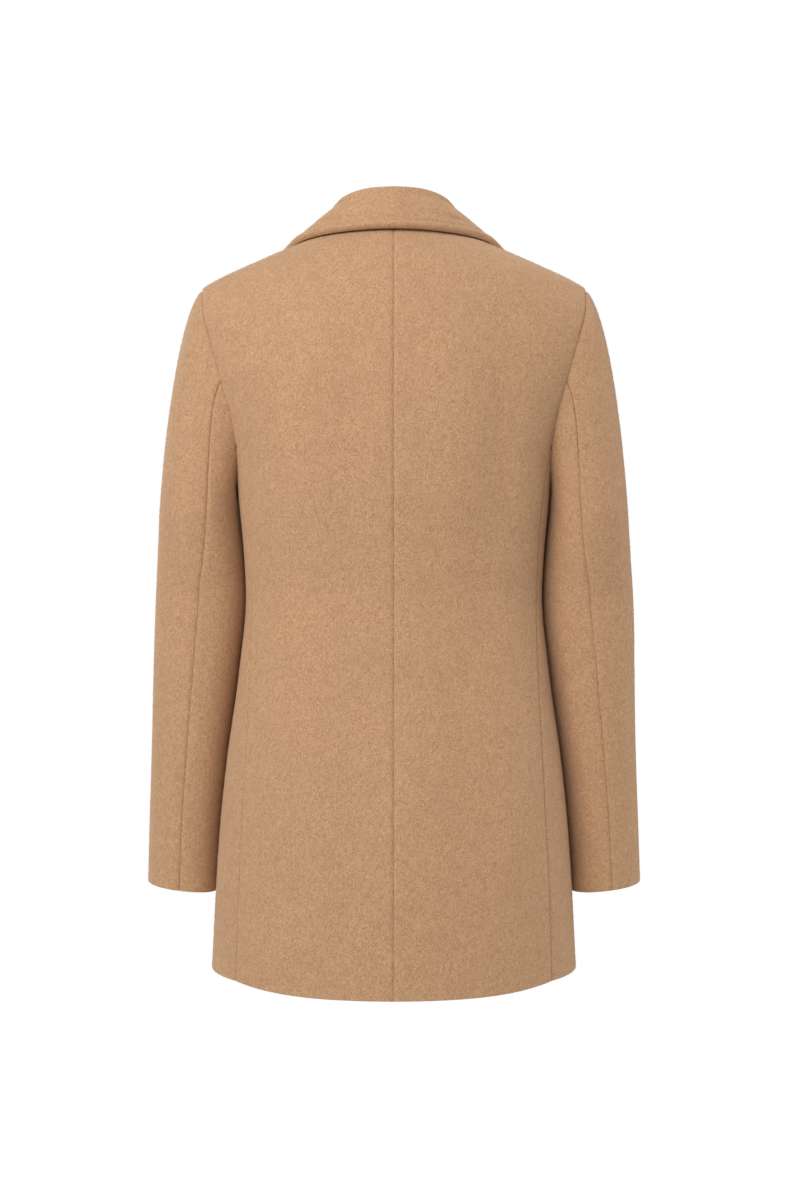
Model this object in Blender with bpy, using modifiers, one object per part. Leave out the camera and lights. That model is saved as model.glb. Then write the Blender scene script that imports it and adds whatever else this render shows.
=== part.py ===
"""A waisted wool blazer, hollow, filled out as if worn, with its neck, cuffs and hem open.

The wearer faces -Y, their left side is +X and +Z is up. The origin lies between the
shoulders, where the wearer carries the garment. All sizes are in metres.

The trunk is one smooth form, given by level sections from hem to neck. Each body panel is a
patch of that form between its seams. The sleeves are rings that start at the armhole.
"""

from collections import namedtuple
from math import cos, pi, radians, sin

import bmesh
import bpy
import numpy as np
from mathutils import Vector

# Cloth
CLOTH = 0.0025
SEAM_GAP = 0.0003
LAPEL_THICKNESS = 0.0045
LAPEL_REST = 0.0011
COLLAR_STAND_THICKNESS = 0.0036
COLLAR_FALL_THICKNESS = 0.0050
COLLAR_EDGE_THICKNESS = 0.0064

# Heights and widths of the trunk
HEM_HEIGHT = -0.7385
HEM_SIDE_RISE = 0.0125
HEM_HALF_WIDTH = 0.190
NECK_BACK_HEIGHT = 0.0325
NECK_POINT_HEIGHT = 0.0345
SHOULDER_TIP_HEIGHT = -0.026

# Armhole, an egg seen from the side
ARMHOLE_CENTRE_HEIGHT = -0.129
ARMHOLE_HALF_HEIGHT = 0.103
ARMHOLE_BACK_REACH = 0.060
ARMHOLE_FRONT_REACH = 0.056
ARMHOLE_STEPS = 28
SLEEVE_BACK_SEAM_STEP = 7
SIDE_BACK_SEAM_STEP = 10
SIDE_FRONT_SEAM_STEP = 18
SLEEVE_FRONT_SEAM_STEP = 19

# Front opening: the right front laps over the left
OVERLAP = 0.022
BREAK_HEIGHT = -0.300
ROLL_TOP_HEIGHT = -0.010
ROLL_TOP_ACROSS = 0.0605
LAP_LIFT = 0.0034
LAP_START = 0.062
LAP_END = 0.030

# Lapels
LAPEL_TIP_ACROSS = 0.130
LAPEL_TIP_HEIGHT = -0.062
LAPEL_LOW_WIDTH = 0.007
LAPEL_BELLY = 0.006
LAPEL_NOTCH_SHARE = 0.58
LAPEL_EDGE_SHARE = 0.70
LAPEL_CLEARANCE = 0.0012
LEFT_LAPEL_LOW = -0.250

# Sleeves
SLEEVE_CAP_ROWS = 6
CAP_REACH_TOP = 0.034
CAP_REACH_UNDER = 0.006
CAP_LIFT_TOP = 0.092
CAP_LIFT_UNDER = 0.008
CAP_FULLNESS = 0.16
CAP_LEAN = 0.006
# How far the cap first heads out and down from the armhole, at its foot and at its top
CAP_OUT_UNDER = 0.35
CAP_OUT_TOP = 0.70
CAP_DOWN_UNDER = 0.95
CAP_DOWN_TOP = 0.77
CUFF_TILT = 0.12

# Buttons
BUTTON_DIAMETER = 0.023
BUTTON_THICKNESS = 0.0042
BUTTON_RIM = 0.0028
BUTTON_DISH = 0.0012
BUTTON_STEPS = 28
BUTTON_HOLE_STEPS = 10
BUTTON_HOLE_DIAMETER = 0.0022
BUTTON_HOLE_SPREAD = 0.0025
BUTTON_STAND_OFF = 0.0006
BUTTON_HEIGHTS = {"button_upper": -0.318, "button_lower": -0.425}

# Grid sizes
SHOULDER_COLUMNS = 8
NECK_COLUMNS = 4
SIDE_SEAM_ROWS = 14
FRONT_NECK_ROWS = 3
ROWS_ABOVE_BREAK = 3
LAPEL_ROWS = 12
LAPEL_NOTCH_COLUMN = 3
LAPEL_COLUMNS = (0.0, 0.04, 0.22, 0.42, 0.70, 0.95, 1.0)
COLLAR_STEPS_PER_STATION = 3
# How far a curve runs on straight past its last value, before it stays level.
CURVE_OVERRUN = 0.003

# Level sections of the trunk. back and front are the depths on the centre lines; a round of
# 2 is an ellipse, and more is squarer.
TrunkSection = namedtuple("TrunkSection", "height half_width back front back_round front_round")
TRUNK = (
    TrunkSection(0.0345, 0.0700, 0.0570, 0.0560, 1.90, 1.90),
    TrunkSection(0.0220, 0.0990, 0.0690, 0.0680, 1.85, 1.85),
    TrunkSection(0.0090, 0.1308, 0.0800, 0.0790, 1.80, 1.80),
    TrunkSection(-0.0035, 0.1592, 0.0890, 0.0850, 1.78, 1.78),
    TrunkSection(-0.0160, 0.1862, 0.0955, 0.0905, 1.78, 1.78),
    TrunkSection(-0.0260, 0.2018, 0.0990, 0.0945, 1.80, 1.80),
    TrunkSection(-0.0580, 0.2140, 0.1080, 0.1040, 2.00, 2.00),
    TrunkSection(-0.0910, 0.2068, 0.1140, 0.1120, 2.20, 2.15),
    TrunkSection(-0.1250, 0.1956, 0.1175, 0.1190, 2.30, 2.20),
    TrunkSection(-0.1740, 0.1753, 0.1185, 0.1270, 2.40, 2.20),
    TrunkSection(-0.2160, 0.1645, 0.1160, 0.1305, 2.40, 2.20),
    TrunkSection(-0.2450, 0.1620, 0.1130, 0.1300, 2.40, 2.20),
    TrunkSection(-0.3080, 0.1563, 0.1030, 0.1200, 2.35, 2.20),
    TrunkSection(-0.3450, 0.1547, 0.0985, 0.1150, 2.30, 2.20),
    TrunkSection(-0.4250, 0.1620, 0.1040, 0.1160, 2.25, 2.20),
    TrunkSection(-0.5160, 0.1745, 0.1190, 0.1220, 2.20, 2.20),
    TrunkSection(-0.5830, 0.1815, 0.1280, 0.1265, 2.15, 2.20),
    TrunkSection(-0.6500, 0.1860, 0.1345, 0.1300, 2.10, 2.15),
    TrunkSection(-0.7385, 0.1905, 0.1390, 0.1330, 2.05, 2.10),
)

# Where the two seams of the side panel cross each level, measured from the centre plane.
SideSeams = namedtuple("SideSeams", "height back_across front_across")
SIDE_SEAMS = (
    SideSeams(-0.2160, 0.1575, 0.1510),
    SideSeams(-0.2450, 0.1535, 0.1460),
    SideSeams(-0.3050, 0.1485, 0.1390),
    SideSeams(-0.3650, 0.1470, 0.1370),
    SideSeams(-0.4350, 0.1485, 0.1400),
    SideSeams(-0.5400, 0.1520, 0.1470),
    SideSeams(-0.6500, 0.1568, 0.1530),
    SideSeams(-0.7385, 0.1595, 0.1560),
)

# Level sections of a sleeve below the armhole. The seam turns are in degrees about the ring.
SleeveSection = namedtuple(
    "SleeveSection", "height inner outer middle half_depth back_seam_turn front_seam_turn"
)
SLEEVES = (
    SleeveSection(-0.2620, 0.1618, 0.2460, -0.008, 0.0640, 14.0, 0.0),
    SleeveSection(-0.3050, 0.1577, 0.2490, -0.014, 0.0590, 9.0, -2.0),
    SleeveSection(-0.3450, 0.1553, 0.2518, -0.019, 0.0545, 3.0, -3.0),
    SleeveSection(-0.4250, 0.1636, 0.2550, -0.023, 0.0530, 2.0, -3.0),
    SleeveSection(-0.5160, 0.1758, 0.2576, -0.027, 0.0515, 2.0, -2.0),
    SleeveSection(-0.5830, 0.1822, 0.2600, -0.030, 0.0500, 1.0, -1.0),
    SleeveSection(-0.6530, 0.1860, 0.2622, -0.033, 0.0480, 1.0, 0.0),
)
SLEEVE_LEVELS = 12
SLEEVE_INNER_ROUND = 2.5
SLEEVE_OUTER_ROUND = 2.1
# The right sleeve hangs with its back seam turned a little further out.
SLEEVE_EXTRA_TURN = {"left": 0.0, "right": -6.0}

# The collar from the centre back to its front end. It is sewn on along the neck line, where
# 0 is the centre back, 1 the neck point and 2 the roll's top. The fold stands free, and the
# edge lies on the trunk, at an angle round it from the centre back.
CollarStation = namedtuple(
    "CollarStation", "neck_place fold_across fold_back fold_height edge_angle edge_height"
)
COLLAR = (
    CollarStation(0.00, 0.0000, 0.0500, 0.0692, 0.0, 0.0222),
    CollarStation(0.32, 0.0235, 0.0440, 0.0686, 30.0, 0.0220),
    CollarStation(0.66, 0.0415, 0.0290, 0.0642, 59.0, 0.0218),
    CollarStation(1.00, 0.0480, 0.0050, 0.0540, 89.0, 0.0195),
    CollarStation(1.34, 0.0540, -0.0270, 0.0430, 104.0, 0.0060),
    CollarStation(1.68, 0.0572, -0.0560, 0.0250, 112.0, -0.0090),
    CollarStation(1.93, 0.0605, -0.0822, -0.0036, 119.0, -0.0215),
)
FOLD_RADIUS = 0.0030
FOLD_TURNS = (0, 45, 90, 135)
# The fall bows out by this much, most of all a third of the way down.
FALL_BOW = 0.0042
FALL_BOW_RISE = 0.62
COLLAR_SEAT = 0.0022
COLLAR_REST = 0.0002
STAND_SHARES = (0.0, 0.33, 0.67)
FALL_SHARES = (0.0, 0.22, 0.44, 0.66, 0.86, 0.95, 1.0)
# Wall thickness of the collar at each point of its profile: stand, fold and fall.
COLLAR_WALL = (
    (COLLAR_STAND_THICKNESS,) * (len(STAND_SHARES) + len(FOLD_TURNS))
    + (COLLAR_FALL_THICKNESS,) * (len(FALL_SHARES) - 3)
    + (COLLAR_EDGE_THICKNESS, 0.9 * COLLAR_EDGE_THICKNESS, 0.5 * COLLAR_EDGE_THICKNESS)
)

CAMEL = (0.56, 0.35, 0.19, 1.0)
HORN = (0.09, 0.05, 0.03, 1.0)


def smooth_curve(stops, values):
    """A function through the given values that never overshoots between two of them."""
    order = np.argsort(stops)
    x = np.asarray(stops, float)[order]
    y = np.asarray(values, float)[order]
    run = np.diff(x)
    rise = np.diff(y) / run
    slope = np.zeros(len(x))
    slope[0] = rise[0]
    slope[-1] = rise[-1]
    same_way = rise[:-1] * rise[1:] > 0
    before = 2 * run[1:] + run[:-1]
    after = run[1:] + 2 * run[:-1]
    safe_before = np.where(same_way, rise[:-1], 1.0)
    safe_after = np.where(same_way, rise[1:], 1.0)
    mean = (before + after) / (before / safe_before + after / safe_after)
    slope[1:-1] = np.where(same_way, mean, 0.0)

    def value_at(where):
        i = min(max(int(np.searchsorted(x, where)) - 1, 0), len(run) - 1)
        t = (where - x[i]) / run[i]
        if t < 0:
            return y[0] + slope[0] * max(where - x[0], -CURVE_OVERRUN)
        if t > 1:
            return y[-1] + slope[-1] * min(where - x[-1], CURVE_OVERRUN)
        step = t * t * (3 - 2 * t)
        ease_out = t * (1 - t) ** 2
        ease_in = t * t * (t - 1)
        return y[i] + step * (y[i + 1] - y[i]) + run[i] * (ease_out * slope[i] + ease_in * slope[i + 1])

    return value_at


def curves_of(table, key):
    """One smooth curve for each column of a table, over its key column."""
    stops = [getattr(row, key) for row in table]
    return {
        name: smooth_curve(stops, [getattr(row, name) for row in table])
        for name in table[0]._fields
        if name != key
    }


def smoothstep(start, end, value):
    """An even rise from 0 to 1 between two values, level at both ends."""
    t = min(max((value - start) / (end - start), 0.0), 1.0)
    return t * t * (3 - 2 * t)


trunk = curves_of(TRUNK, "height")


def side_of_trunk(facing, height):
    """Depth and roundness of the back (facing +1) or front (facing -1) at a height."""
    side = "back" if facing > 0 else "front"
    return trunk[side](height), trunk[side + "_round"](height)


def depth_at(across, height, facing):
    """Y of the trunk's back or front, at a distance from the centre plane and a height."""
    depth, power = side_of_trunk(facing, height)
    inside = 1 - (abs(across) / trunk["half_width"](height)) ** power
    return facing * depth * max(inside, 0.0) ** (1 / power)


def across_at(back, height):
    """X of the trunk's left side, at a Y and a height."""
    depth, power = side_of_trunk(1 if back >= 0 else -1, height)
    inside = 1 - (abs(back) / depth) ** power
    return trunk["half_width"](height) * max(inside, 0.0) ** (1 / power)


def around_trunk(angle, height):
    """Point at an angle round the trunk from the centre back, towards the left side."""
    depth, power = side_of_trunk(1 if cos(angle) >= 0 else -1, height)
    wide = (abs(sin(angle)) / trunk["half_width"](height)) ** power
    deep = (abs(cos(angle)) / depth) ** power
    radius = (wide + deep) ** (-1 / power)
    return np.array((radius * sin(angle), radius * cos(angle), height))


def outside(point):
    """Above 1 outside the trunk and below 1 inside it."""
    depth, power = side_of_trunk(1 if point[1] >= 0 else -1, point[2])
    return (abs(point[0]) / trunk["half_width"](point[2])) ** power + (abs(point[1]) / depth) ** power


def trunk_normal(point):
    """Unit vector out of the trunk at a point on it."""
    step = 1e-5
    slope = np.zeros(3)
    for axis in range(3):
        nudge = np.zeros(3)
        nudge[axis] = step
        slope[axis] = outside(point + nudge) - outside(point - nudge)
    return slope / np.linalg.norm(slope)


def hem_height(across):
    """Height of the hem, which rises a little towards the sides."""
    return HEM_HEIGHT + HEM_SIDE_RISE * min(abs(across) / HEM_HALF_WIDTH, 1.0) ** 4


def armhole_point(step):
    """Point on the left armhole; step 0 is the shoulder tip and the steps run down the back."""
    turn = 2 * pi * step / ARMHOLE_STEPS
    height = ARMHOLE_CENTRE_HEIGHT + ARMHOLE_HALF_HEIGHT * cos(turn)
    reach = ARMHOLE_BACK_REACH if sin(turn) >= 0 else ARMHOLE_FRONT_REACH
    back = reach * sin(turn)
    return np.array((across_at(back, height), back, height))


def side_seam(column, armhole_step):
    """Points (across, height) of a side seam, from the hem up to the armhole."""
    top = armhole_point(armhole_step)
    stops = [row.height for row in SIDE_SEAMS] + [top[2]]
    across = smooth_curve(stops, [getattr(row, column) for row in SIDE_SEAMS] + [top[0]])
    low = hem_height(across(HEM_HEIGHT))
    heights = np.linspace(low, top[2], SIDE_SEAM_ROWS + 1)
    return np.array([(across(height), height) for height in heights])


def shoulder_seam():
    """Points (across, height) from the neck point out to the shoulder tip."""
    heights = np.linspace(NECK_POINT_HEIGHT, SHOULDER_TIP_HEIGHT, SHOULDER_COLUMNS + 1)
    return np.array([(trunk["half_width"](height), height) for height in heights])


def neck_line(place):
    """Point (across, height) of the neck seam: 0 centre back, 1 neck point, 2 roll's top."""
    half_width = trunk["half_width"](NECK_POINT_HEIGHT)
    if place <= 1:
        turn = place * pi / 2
        rise = (NECK_POINT_HEIGHT - NECK_BACK_HEIGHT) * (1 - cos(turn))
        return np.array((half_width * sin(turn), NECK_BACK_HEIGHT + rise))
    down = place - 1
    across = half_width + (ROLL_TOP_ACROSS - half_width) * down**2
    return np.array((across, NECK_POINT_HEIGHT + (ROLL_TOP_HEIGHT - NECK_POINT_HEIGHT) * down))


def share(points):
    """Each point's share of the way along a line of points."""
    way = np.concatenate([[0], np.cumsum(np.linalg.norm(np.diff(points, axis=0), axis=1))])
    return way / way[-1]


def patch(left, right, bottom, top):
    """Grid of (across, height) that fills four border lines; the top's shape fades downwards."""
    left_share = share(left)
    right_share = share(right)
    bottom_share = share(bottom)
    top_share = share(top)
    grid = np.zeros((len(left), len(bottom), 2))
    for i in range(len(left)):
        rise = (left_share[i] + right_share[i]) / 2
        fade = rise**3
        for j in range(len(bottom)):
            u = (1 - rise) * bottom_share[j] + rise * top_share[j]
            low = bottom[j] - (bottom[0] + bottom_share[j] * (bottom[-1] - bottom[0]))
            high = top[j] - (top[0] + top_share[j] * (top[-1] - top[0]))
            grid[i, j] = left[i] + u * (right[i] - left[i]) + (1 - fade) * low + fade * high
    return grid


def hem_line(start, end, columns):
    """Points (across, height) along the hem."""
    across = np.linspace(start, end, columns + 1)
    return np.array([(x, hem_height(x)) for x in across])


def on_trunk(grid, facing, lift=None):
    """Lifts a grid of (across, height) onto the trunk; also returns its normals."""
    points = np.zeros(grid.shape[:2] + (3,))
    normals = np.zeros_like(points)
    for i, j in np.ndindex(grid.shape[:2]):
        across, height = grid[i, j]
        base = np.array((across, depth_at(across, height, facing), height))
        normals[i, j] = trunk_normal(base)
        raised = lift(across, height) if lift else 0.0
        points[i, j] = base + raised * normals[i, j]
    return points, normals


def drawn_in(points, gap=SEAM_GAP / 2):
    """Draws a grid's four borders in along its own lines, by half of the gap at a seam."""
    eased = points.copy()
    for rows in (points, points.transpose(1, 0, 2)):
        out = eased if rows is points else eased.transpose(1, 0, 2)
        for edge, inner in ((0, 1), (-1, -2)):
            step = rows[inner] - rows[edge]
            length = np.linalg.norm(step, axis=1, keepdims=True)
            out[edge] += gap * step / np.maximum(length, 1e-6)
    return eased


def mirrored(points):
    """The same points on the other side of the centre plane."""
    return points * np.array((-1.0, 1.0, 1.0))


def add_object(name, mesh, material):
    """Adds a mesh to the blazer as a named object with its material."""
    mesh.materials.append(material)
    made = bpy.data.objects.new(name, mesh)
    blazer.objects.link(made)
    return made


def add_wall(name, outer, inner, material):
    """A closed wall between two grids of points, with its rim filled in."""
    rows, columns = outer.shape[:2]
    shape = bmesh.new()
    sheets = [
        [[shape.verts.new(point) for point in row] for row in sheet] for sheet in (outer, inner)
    ]
    for sheet in sheets:
        for i in range(rows - 1):
            for j in range(columns - 1):
                shape.faces.new(
                    (sheet[i][j], sheet[i][j + 1], sheet[i + 1][j + 1], sheet[i + 1][j])
                )
    border = [(0, j) for j in range(columns)]
    border += [(i, columns - 1) for i in range(1, rows)]
    border += [(rows - 1, j) for j in range(columns - 2, -1, -1)]
    border += [(i, 0) for i in range(rows - 2, 0, -1)]
    for (i, j), (k, m) in zip(border, border[1:] + border[:1]):
        shape.faces.new((sheets[0][i][j], sheets[0][k][m], sheets[1][k][m], sheets[1][i][j]))
    bmesh.ops.recalc_face_normals(shape, faces=shape.faces)
    mesh = bpy.data.meshes.new(name)
    shape.to_mesh(mesh)
    shape.free()
    mesh.shade_smooth()
    mesh.set_sharp_from_angle(angle=radians(50))
    return add_object(name, mesh, material)


def wall_pair(name, points, normals, thickness, material):
    """The same wall on the left and, mirrored, on the right."""
    inner = points - thickness * normals
    add_wall(name + "_left", points, inner, material)
    add_wall(name + "_right", mirrored(points), mirrored(inner), material)


def cloth_material(name, colour):
    """Brushed wool: matt and evenly coloured."""
    material = bpy.data.materials.new(name)
    material.use_nodes = True
    shader = material.node_tree.nodes["Principled BSDF"]
    shader.inputs["Base Color"].default_value = colour
    shader.inputs["Roughness"].default_value = 0.92
    shader.inputs["Sheen Weight"].default_value = 0.3
    return material


def horn_material(name):
    """Dark polished horn."""
    material = bpy.data.materials.new(name)
    material.use_nodes = True
    shader = material.node_tree.nodes["Principled BSDF"]
    shader.inputs["Base Color"].default_value = HORN
    shader.inputs["Roughness"].default_value = 0.35
    return material


# Sleeve rings


def sleeve_ring(height, extra_turn):
    """Points of the left sleeve at a height, one for each step of the armhole."""
    inner = sleeve["inner"](height)
    outer = sleeve["outer"](height)
    centre = (inner + outer) / 2
    half_width = (outer - inner) / 2
    half_depth = sleeve["half_depth"](height)
    back_turn = sleeve["back_seam_turn"](height) + extra_turn
    front_turn = sleeve["front_seam_turn"](height)
    low = SLEEVE_FRONT_SEAM_STEP - ARMHOLE_STEPS
    steps = (low, SLEEVE_BACK_SEAM_STEP, SLEEVE_FRONT_SEAM_STEP)
    ring = []
    for step in range(ARMHOLE_STEPS):
        turn = np.interp(step, steps, (front_turn, back_turn, front_turn))
        angle = 2 * pi * step / ARMHOLE_STEPS + radians(turn)
        power = SLEEVE_OUTER_ROUND if cos(angle) >= 0 else SLEEVE_INNER_ROUND
        radius = (abs(cos(angle)) ** power + abs(sin(angle)) ** power) ** (-1 / power)
        across = half_width * radius * cos(angle)
        back = half_depth * radius * sin(angle)
        ring.append((centre + across, sleeve["middle"](height) + back, height))
    return np.array(ring)


def tilted(ring, amount):
    """A ring whose outer side is raised, as a cuff is cut."""
    out = ring.copy()
    out[:, 2] += amount * (ring[:, 0] - ring[:, 0].mean())
    return out


def sleeve_grid(extra_turn):
    """Rings of the left sleeve from the armhole to the cuff, as (ring, step, xyz)."""
    top = SLEEVES[0].height
    cuff = SLEEVES[-1].height
    armhole = np.array([armhole_point(step) for step in range(ARMHOLE_STEPS)])
    levels = np.linspace(top, cuff, SLEEVE_LEVELS + 1)
    tube = []
    for level in levels:
        down = (top - level) / (top - cuff)
        tube.append(tilted(sleeve_ring(level, extra_turn * down), CUFF_TILT * down**2))
    turns = 2 * pi * np.arange(ARMHOLE_STEPS) / ARMHOLE_STEPS
    height = (1 + np.cos(turns)) / 2
    reach = CAP_REACH_UNDER + (CAP_REACH_TOP - CAP_REACH_UNDER) * np.sqrt(height)
    lift = CAP_LIFT_UNDER + (CAP_LIFT_TOP - CAP_LIFT_UNDER) * height
    out = CAP_OUT_UNDER + (CAP_OUT_TOP - CAP_OUT_UNDER) * height
    down = CAP_DOWN_UNDER + (CAP_DOWN_TOP - CAP_DOWN_UNDER) * height
    away = np.stack([out, CAP_FULLNESS * np.sin(turns), -down], 1)
    away /= np.linalg.norm(away, axis=1, keepdims=True)
    start = armhole + SEAM_GAP * away
    leave = start + reach[:, None] * away
    arrive = tube[0] + lift[:, None] * np.array((0.0, 0.0, 1.0))
    arrive[:, 0] -= CAP_LEAN * height
    cap = []
    for t in np.linspace(0, 1, SLEEVE_CAP_ROWS + 1)[:-1]:
        part = ((1 - t) ** 3, 3 * t * (1 - t) ** 2, 3 * t * t * (1 - t), t**3)
        cap.append(part[0] * start + part[1] * leave + part[2] * arrive + part[3] * tube[0])
    return np.array(cap + tube)


def ring_normals(grid):
    """Unit vectors out of a stack of closed rings."""
    round_way = np.roll(grid, -1, axis=1) - np.roll(grid, 1, axis=1)
    down_way = np.gradient(grid, axis=0)
    normals = np.cross(down_way, round_way)
    normals /= np.linalg.norm(normals, axis=2, keepdims=True)
    centre = grid.mean(axis=1, keepdims=True)
    inwards = ((grid - centre) * normals).sum(axis=2).mean() < 0
    return -normals if inwards else normals


sleeve = curves_of(SLEEVES, "height")


def armhole_outward(step, sleeve_normal):
    """Wall direction at the armhole, shared by body and sleeve over the shoulder's corner."""
    shared = min(max(2 * cos(2 * pi * step / ARMHOLE_STEPS), 0.0), 1.0)
    body = trunk_normal(armhole_point(step))
    for_body = body + shared * sleeve_normal
    for_sleeve = sleeve_normal + shared * body
    return for_body / np.linalg.norm(for_body), for_sleeve / np.linalg.norm(for_sleeve)


def make_sleeves():
    """Top and under sleeve of both arms, split along their two seams."""
    for side, extra_turn in SLEEVE_EXTRA_TURN.items():
        grid = sleeve_grid(extra_turn)
        normals = ring_normals(grid)
        for step in range(ARMHOLE_STEPS):
            normals[0, step] = armhole_outward(step, normals[0, step])[1]
        top_steps = range(SLEEVE_FRONT_SEAM_STEP - ARMHOLE_STEPS, SLEEVE_BACK_SEAM_STEP + 1)
        under_steps = range(SLEEVE_BACK_SEAM_STEP, SLEEVE_FRONT_SEAM_STEP + 1)
        for name, steps in (("top_sleeve", top_steps), ("under_sleeve", under_steps)):
            picked = [step % ARMHOLE_STEPS for step in steps]
            outer = drawn_in(grid[:, picked])
            inner = outer - CLOTH * normals[:, picked]
            if side == "right":
                outer, inner = mirrored(outer), mirrored(inner)
            add_wall(f"{name}_{side}", outer, inner, cloth_material(f"{name}_wool", CAMEL))


def set_armhole_normals(normals, first_row, steps, column=-1):
    """Turns a panel's wall at the armhole to meet the sleeve's."""
    grid = sleeve_grid(0.0)
    ring = ring_normals(grid)[0]
    for row, step in zip(range(first_row, normals.shape[0]), steps):
        normals[row, column] = armhole_outward(step, ring[step % ARMHOLE_STEPS])[0]


def make_backs():
    """The two back panels, between the centre seam and the side-back seams."""
    side = side_seam("back_across", SIDE_BACK_SEAM_STEP)
    armhole = np.array([armhole_point(k)[[0, 2]] for k in range(SIDE_BACK_SEAM_STEP, -1, -1)])
    right = np.concatenate([side, armhole[1:]])
    low = np.linspace(HEM_HEIGHT, side[-1, 1] + 0.004, SIDE_SEAM_ROWS + 1)
    spread = (armhole[1:, 1] - armhole[0, 1]) / (armhole[-1, 1] - armhole[0, 1])
    high = low[-1] + (NECK_BACK_HEIGHT - low[-1]) * spread
    left = np.array([(0.0, height) for height in np.concatenate([low, high])])
    shoulder = shoulder_seam()
    neck = [neck_line(place) for place in np.linspace(0, 1, NECK_COLUMNS + 1)[:-1]]
    top = np.concatenate([neck, shoulder])
    bottom = hem_line(0.0, side[0, 0], len(top) - 1)
    points, normals = on_trunk(patch(left, right, bottom, top), 1)
    set_armhole_normals(normals, SIDE_SEAM_ROWS, range(SIDE_BACK_SEAM_STEP, -1, -1))
    wall_pair("back", drawn_in(points), normals, CLOTH, cloth_material("back_wool", CAMEL))


def make_sides():
    """The side panels under the arms."""
    back = side_seam("back_across", SIDE_BACK_SEAM_STEP)
    front = side_seam("front_across", SIDE_FRONT_SEAM_STEP)
    steps = range(SIDE_BACK_SEAM_STEP, SIDE_FRONT_SEAM_STEP + 1)
    start = [np.arctan2(x, depth_at(x, z, 1)) for x, z in back]
    end = [np.arctan2(x, depth_at(x, z, -1)) for x, z in front]
    tops = [armhole_point(step) for step in steps]
    top_angles = np.array([np.arctan2(point[0], point[1]) for point in tops])
    top_heights = np.array([point[2] for point in tops])
    across = (top_angles - top_angles[0]) / (top_angles[-1] - top_angles[0])
    points = np.zeros((len(back), len(tops), 3))
    for i in range(len(back)):
        rise = i / (len(back) - 1)
        for j in range(len(tops)):
            even = (1 - rise) * j / (len(tops) - 1) + rise * across[j]
            angle = start[i] + even * (end[i] - start[i])
            level = back[i, 1] + even * (front[i, 1] - back[i, 1])
            dip = top_heights[j] - (top_heights[0] + across[j] * (top_heights[-1] - top_heights[0]))
            points[i, j] = around_trunk(angle, level + rise**3 * dip)
    normals = np.array([[trunk_normal(point) for point in row] for row in points])
    wall_pair("side", drawn_in(points), normals, CLOTH, cloth_material("side_wool", CAMEL))


def roll_across(height):
    """X of the left roll line at a height, from the break up to the collar."""
    rise = (height - BREAK_HEIGHT) / (ROLL_TOP_HEIGHT - BREAK_HEIGHT)
    return -OVERLAP + rise * (ROLL_TOP_ACROSS + OVERLAP)


def lap_lift(across, height):
    """How far the right front stands off the trunk, where it laps over the left one."""
    fade = 1 - smoothstep(BREAK_HEIGHT + 0.06, BREAK_HEIGHT + 0.16, height)
    return LAP_LIFT * fade * (1 - smoothstep(LAP_END, LAP_START, across))


def make_fronts():
    """The two fronts, from the side-front seams to the front edges."""
    side = side_seam("front_across", SIDE_FRONT_SEAM_STEP)
    armhole_steps = range(SIDE_FRONT_SEAM_STEP, ARMHOLE_STEPS + 1)
    armhole = np.array([armhole_point(k)[[0, 2]] for k in armhole_steps])
    right = np.concatenate([side, armhole[1:]])
    rows_below = SIDE_SEAM_ROWS - ROWS_ABOVE_BREAK
    rows_roll = ROWS_ABOVE_BREAK + len(armhole) - 1 - FRONT_NECK_ROWS
    below = [(-OVERLAP, z) for z in np.linspace(HEM_HEIGHT, BREAK_HEIGHT, rows_below + 1)]
    roll_heights = np.linspace(BREAK_HEIGHT, ROLL_TOP_HEIGHT, rows_roll + 1)[1:]
    roll = [(roll_across(height), height) for height in roll_heights]
    shoulder = shoulder_seam()
    neck = [neck_line(place) for place in np.linspace(2, 1, FRONT_NECK_ROWS + 1)[1:]]
    left = np.array(below + roll + neck)
    bottom = hem_line(-OVERLAP, side[0, 0], SHOULDER_COLUMNS)
    grid = patch(left, right, bottom, shoulder)
    for name, lift in (("left", None), ("right", lap_lift)):
        points, normals = on_trunk(grid, -1, lift)
        set_armhole_normals(normals, SIDE_SEAM_ROWS, armhole_steps)
        outer = drawn_in(points)
        inner = outer - CLOTH * normals
        if name == "right":
            outer, inner = mirrored(outer), mirrored(inner)
        add_wall(f"front_{name}", outer, inner, cloth_material("front_wool", CAMEL))


def lifted(across, height, lift):
    """Point that stands off the trunk's front by a lift."""
    base = np.array((across, depth_at(across, height, -1), height))
    return base + lift * trunk_normal(base)


def lapel_border(share_up, low):
    """The lapel's roll and outer edge (across, height), a share of the way up from its foot."""
    height = low + share_up * (ROLL_TOP_HEIGHT - LAPEL_CLEARANCE - low)
    rise = (height - BREAK_HEIGHT) / (ROLL_TOP_HEIGHT - BREAK_HEIGHT)
    foot = np.array((roll_across(BREAK_HEIGHT) + LAPEL_LOW_WIDTH, BREAK_HEIGHT))
    tip = np.array((LAPEL_TIP_ACROSS, LAPEL_TIP_HEIGHT))
    edge = foot + rise * (tip - foot) + np.array((LAPEL_BELLY * sin(pi * rise), 0.0))
    return np.array((roll_across(height), height)), edge


def lapel_top(roll, edge):
    """Top edge of a lapel: along the collar's end to the notch, then down to the tip."""
    collar_end = collar_point("edge", len(COLLAR) - 1)[[0, 2]]
    notch = roll + LAPEL_NOTCH_SHARE * (collar_end - np.array((ROLL_TOP_ACROSS, ROLL_TOP_HEIGHT)))
    notch_share = LAPEL_COLUMNS[LAPEL_NOTCH_COLUMN]
    line = []
    for u in LAPEL_COLUMNS:
        if u <= notch_share:
            line.append(roll + u / notch_share * (notch - roll))
        else:
            line.append(notch + (u - notch_share) / (1 - notch_share) * (edge - notch))
    return line


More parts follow.
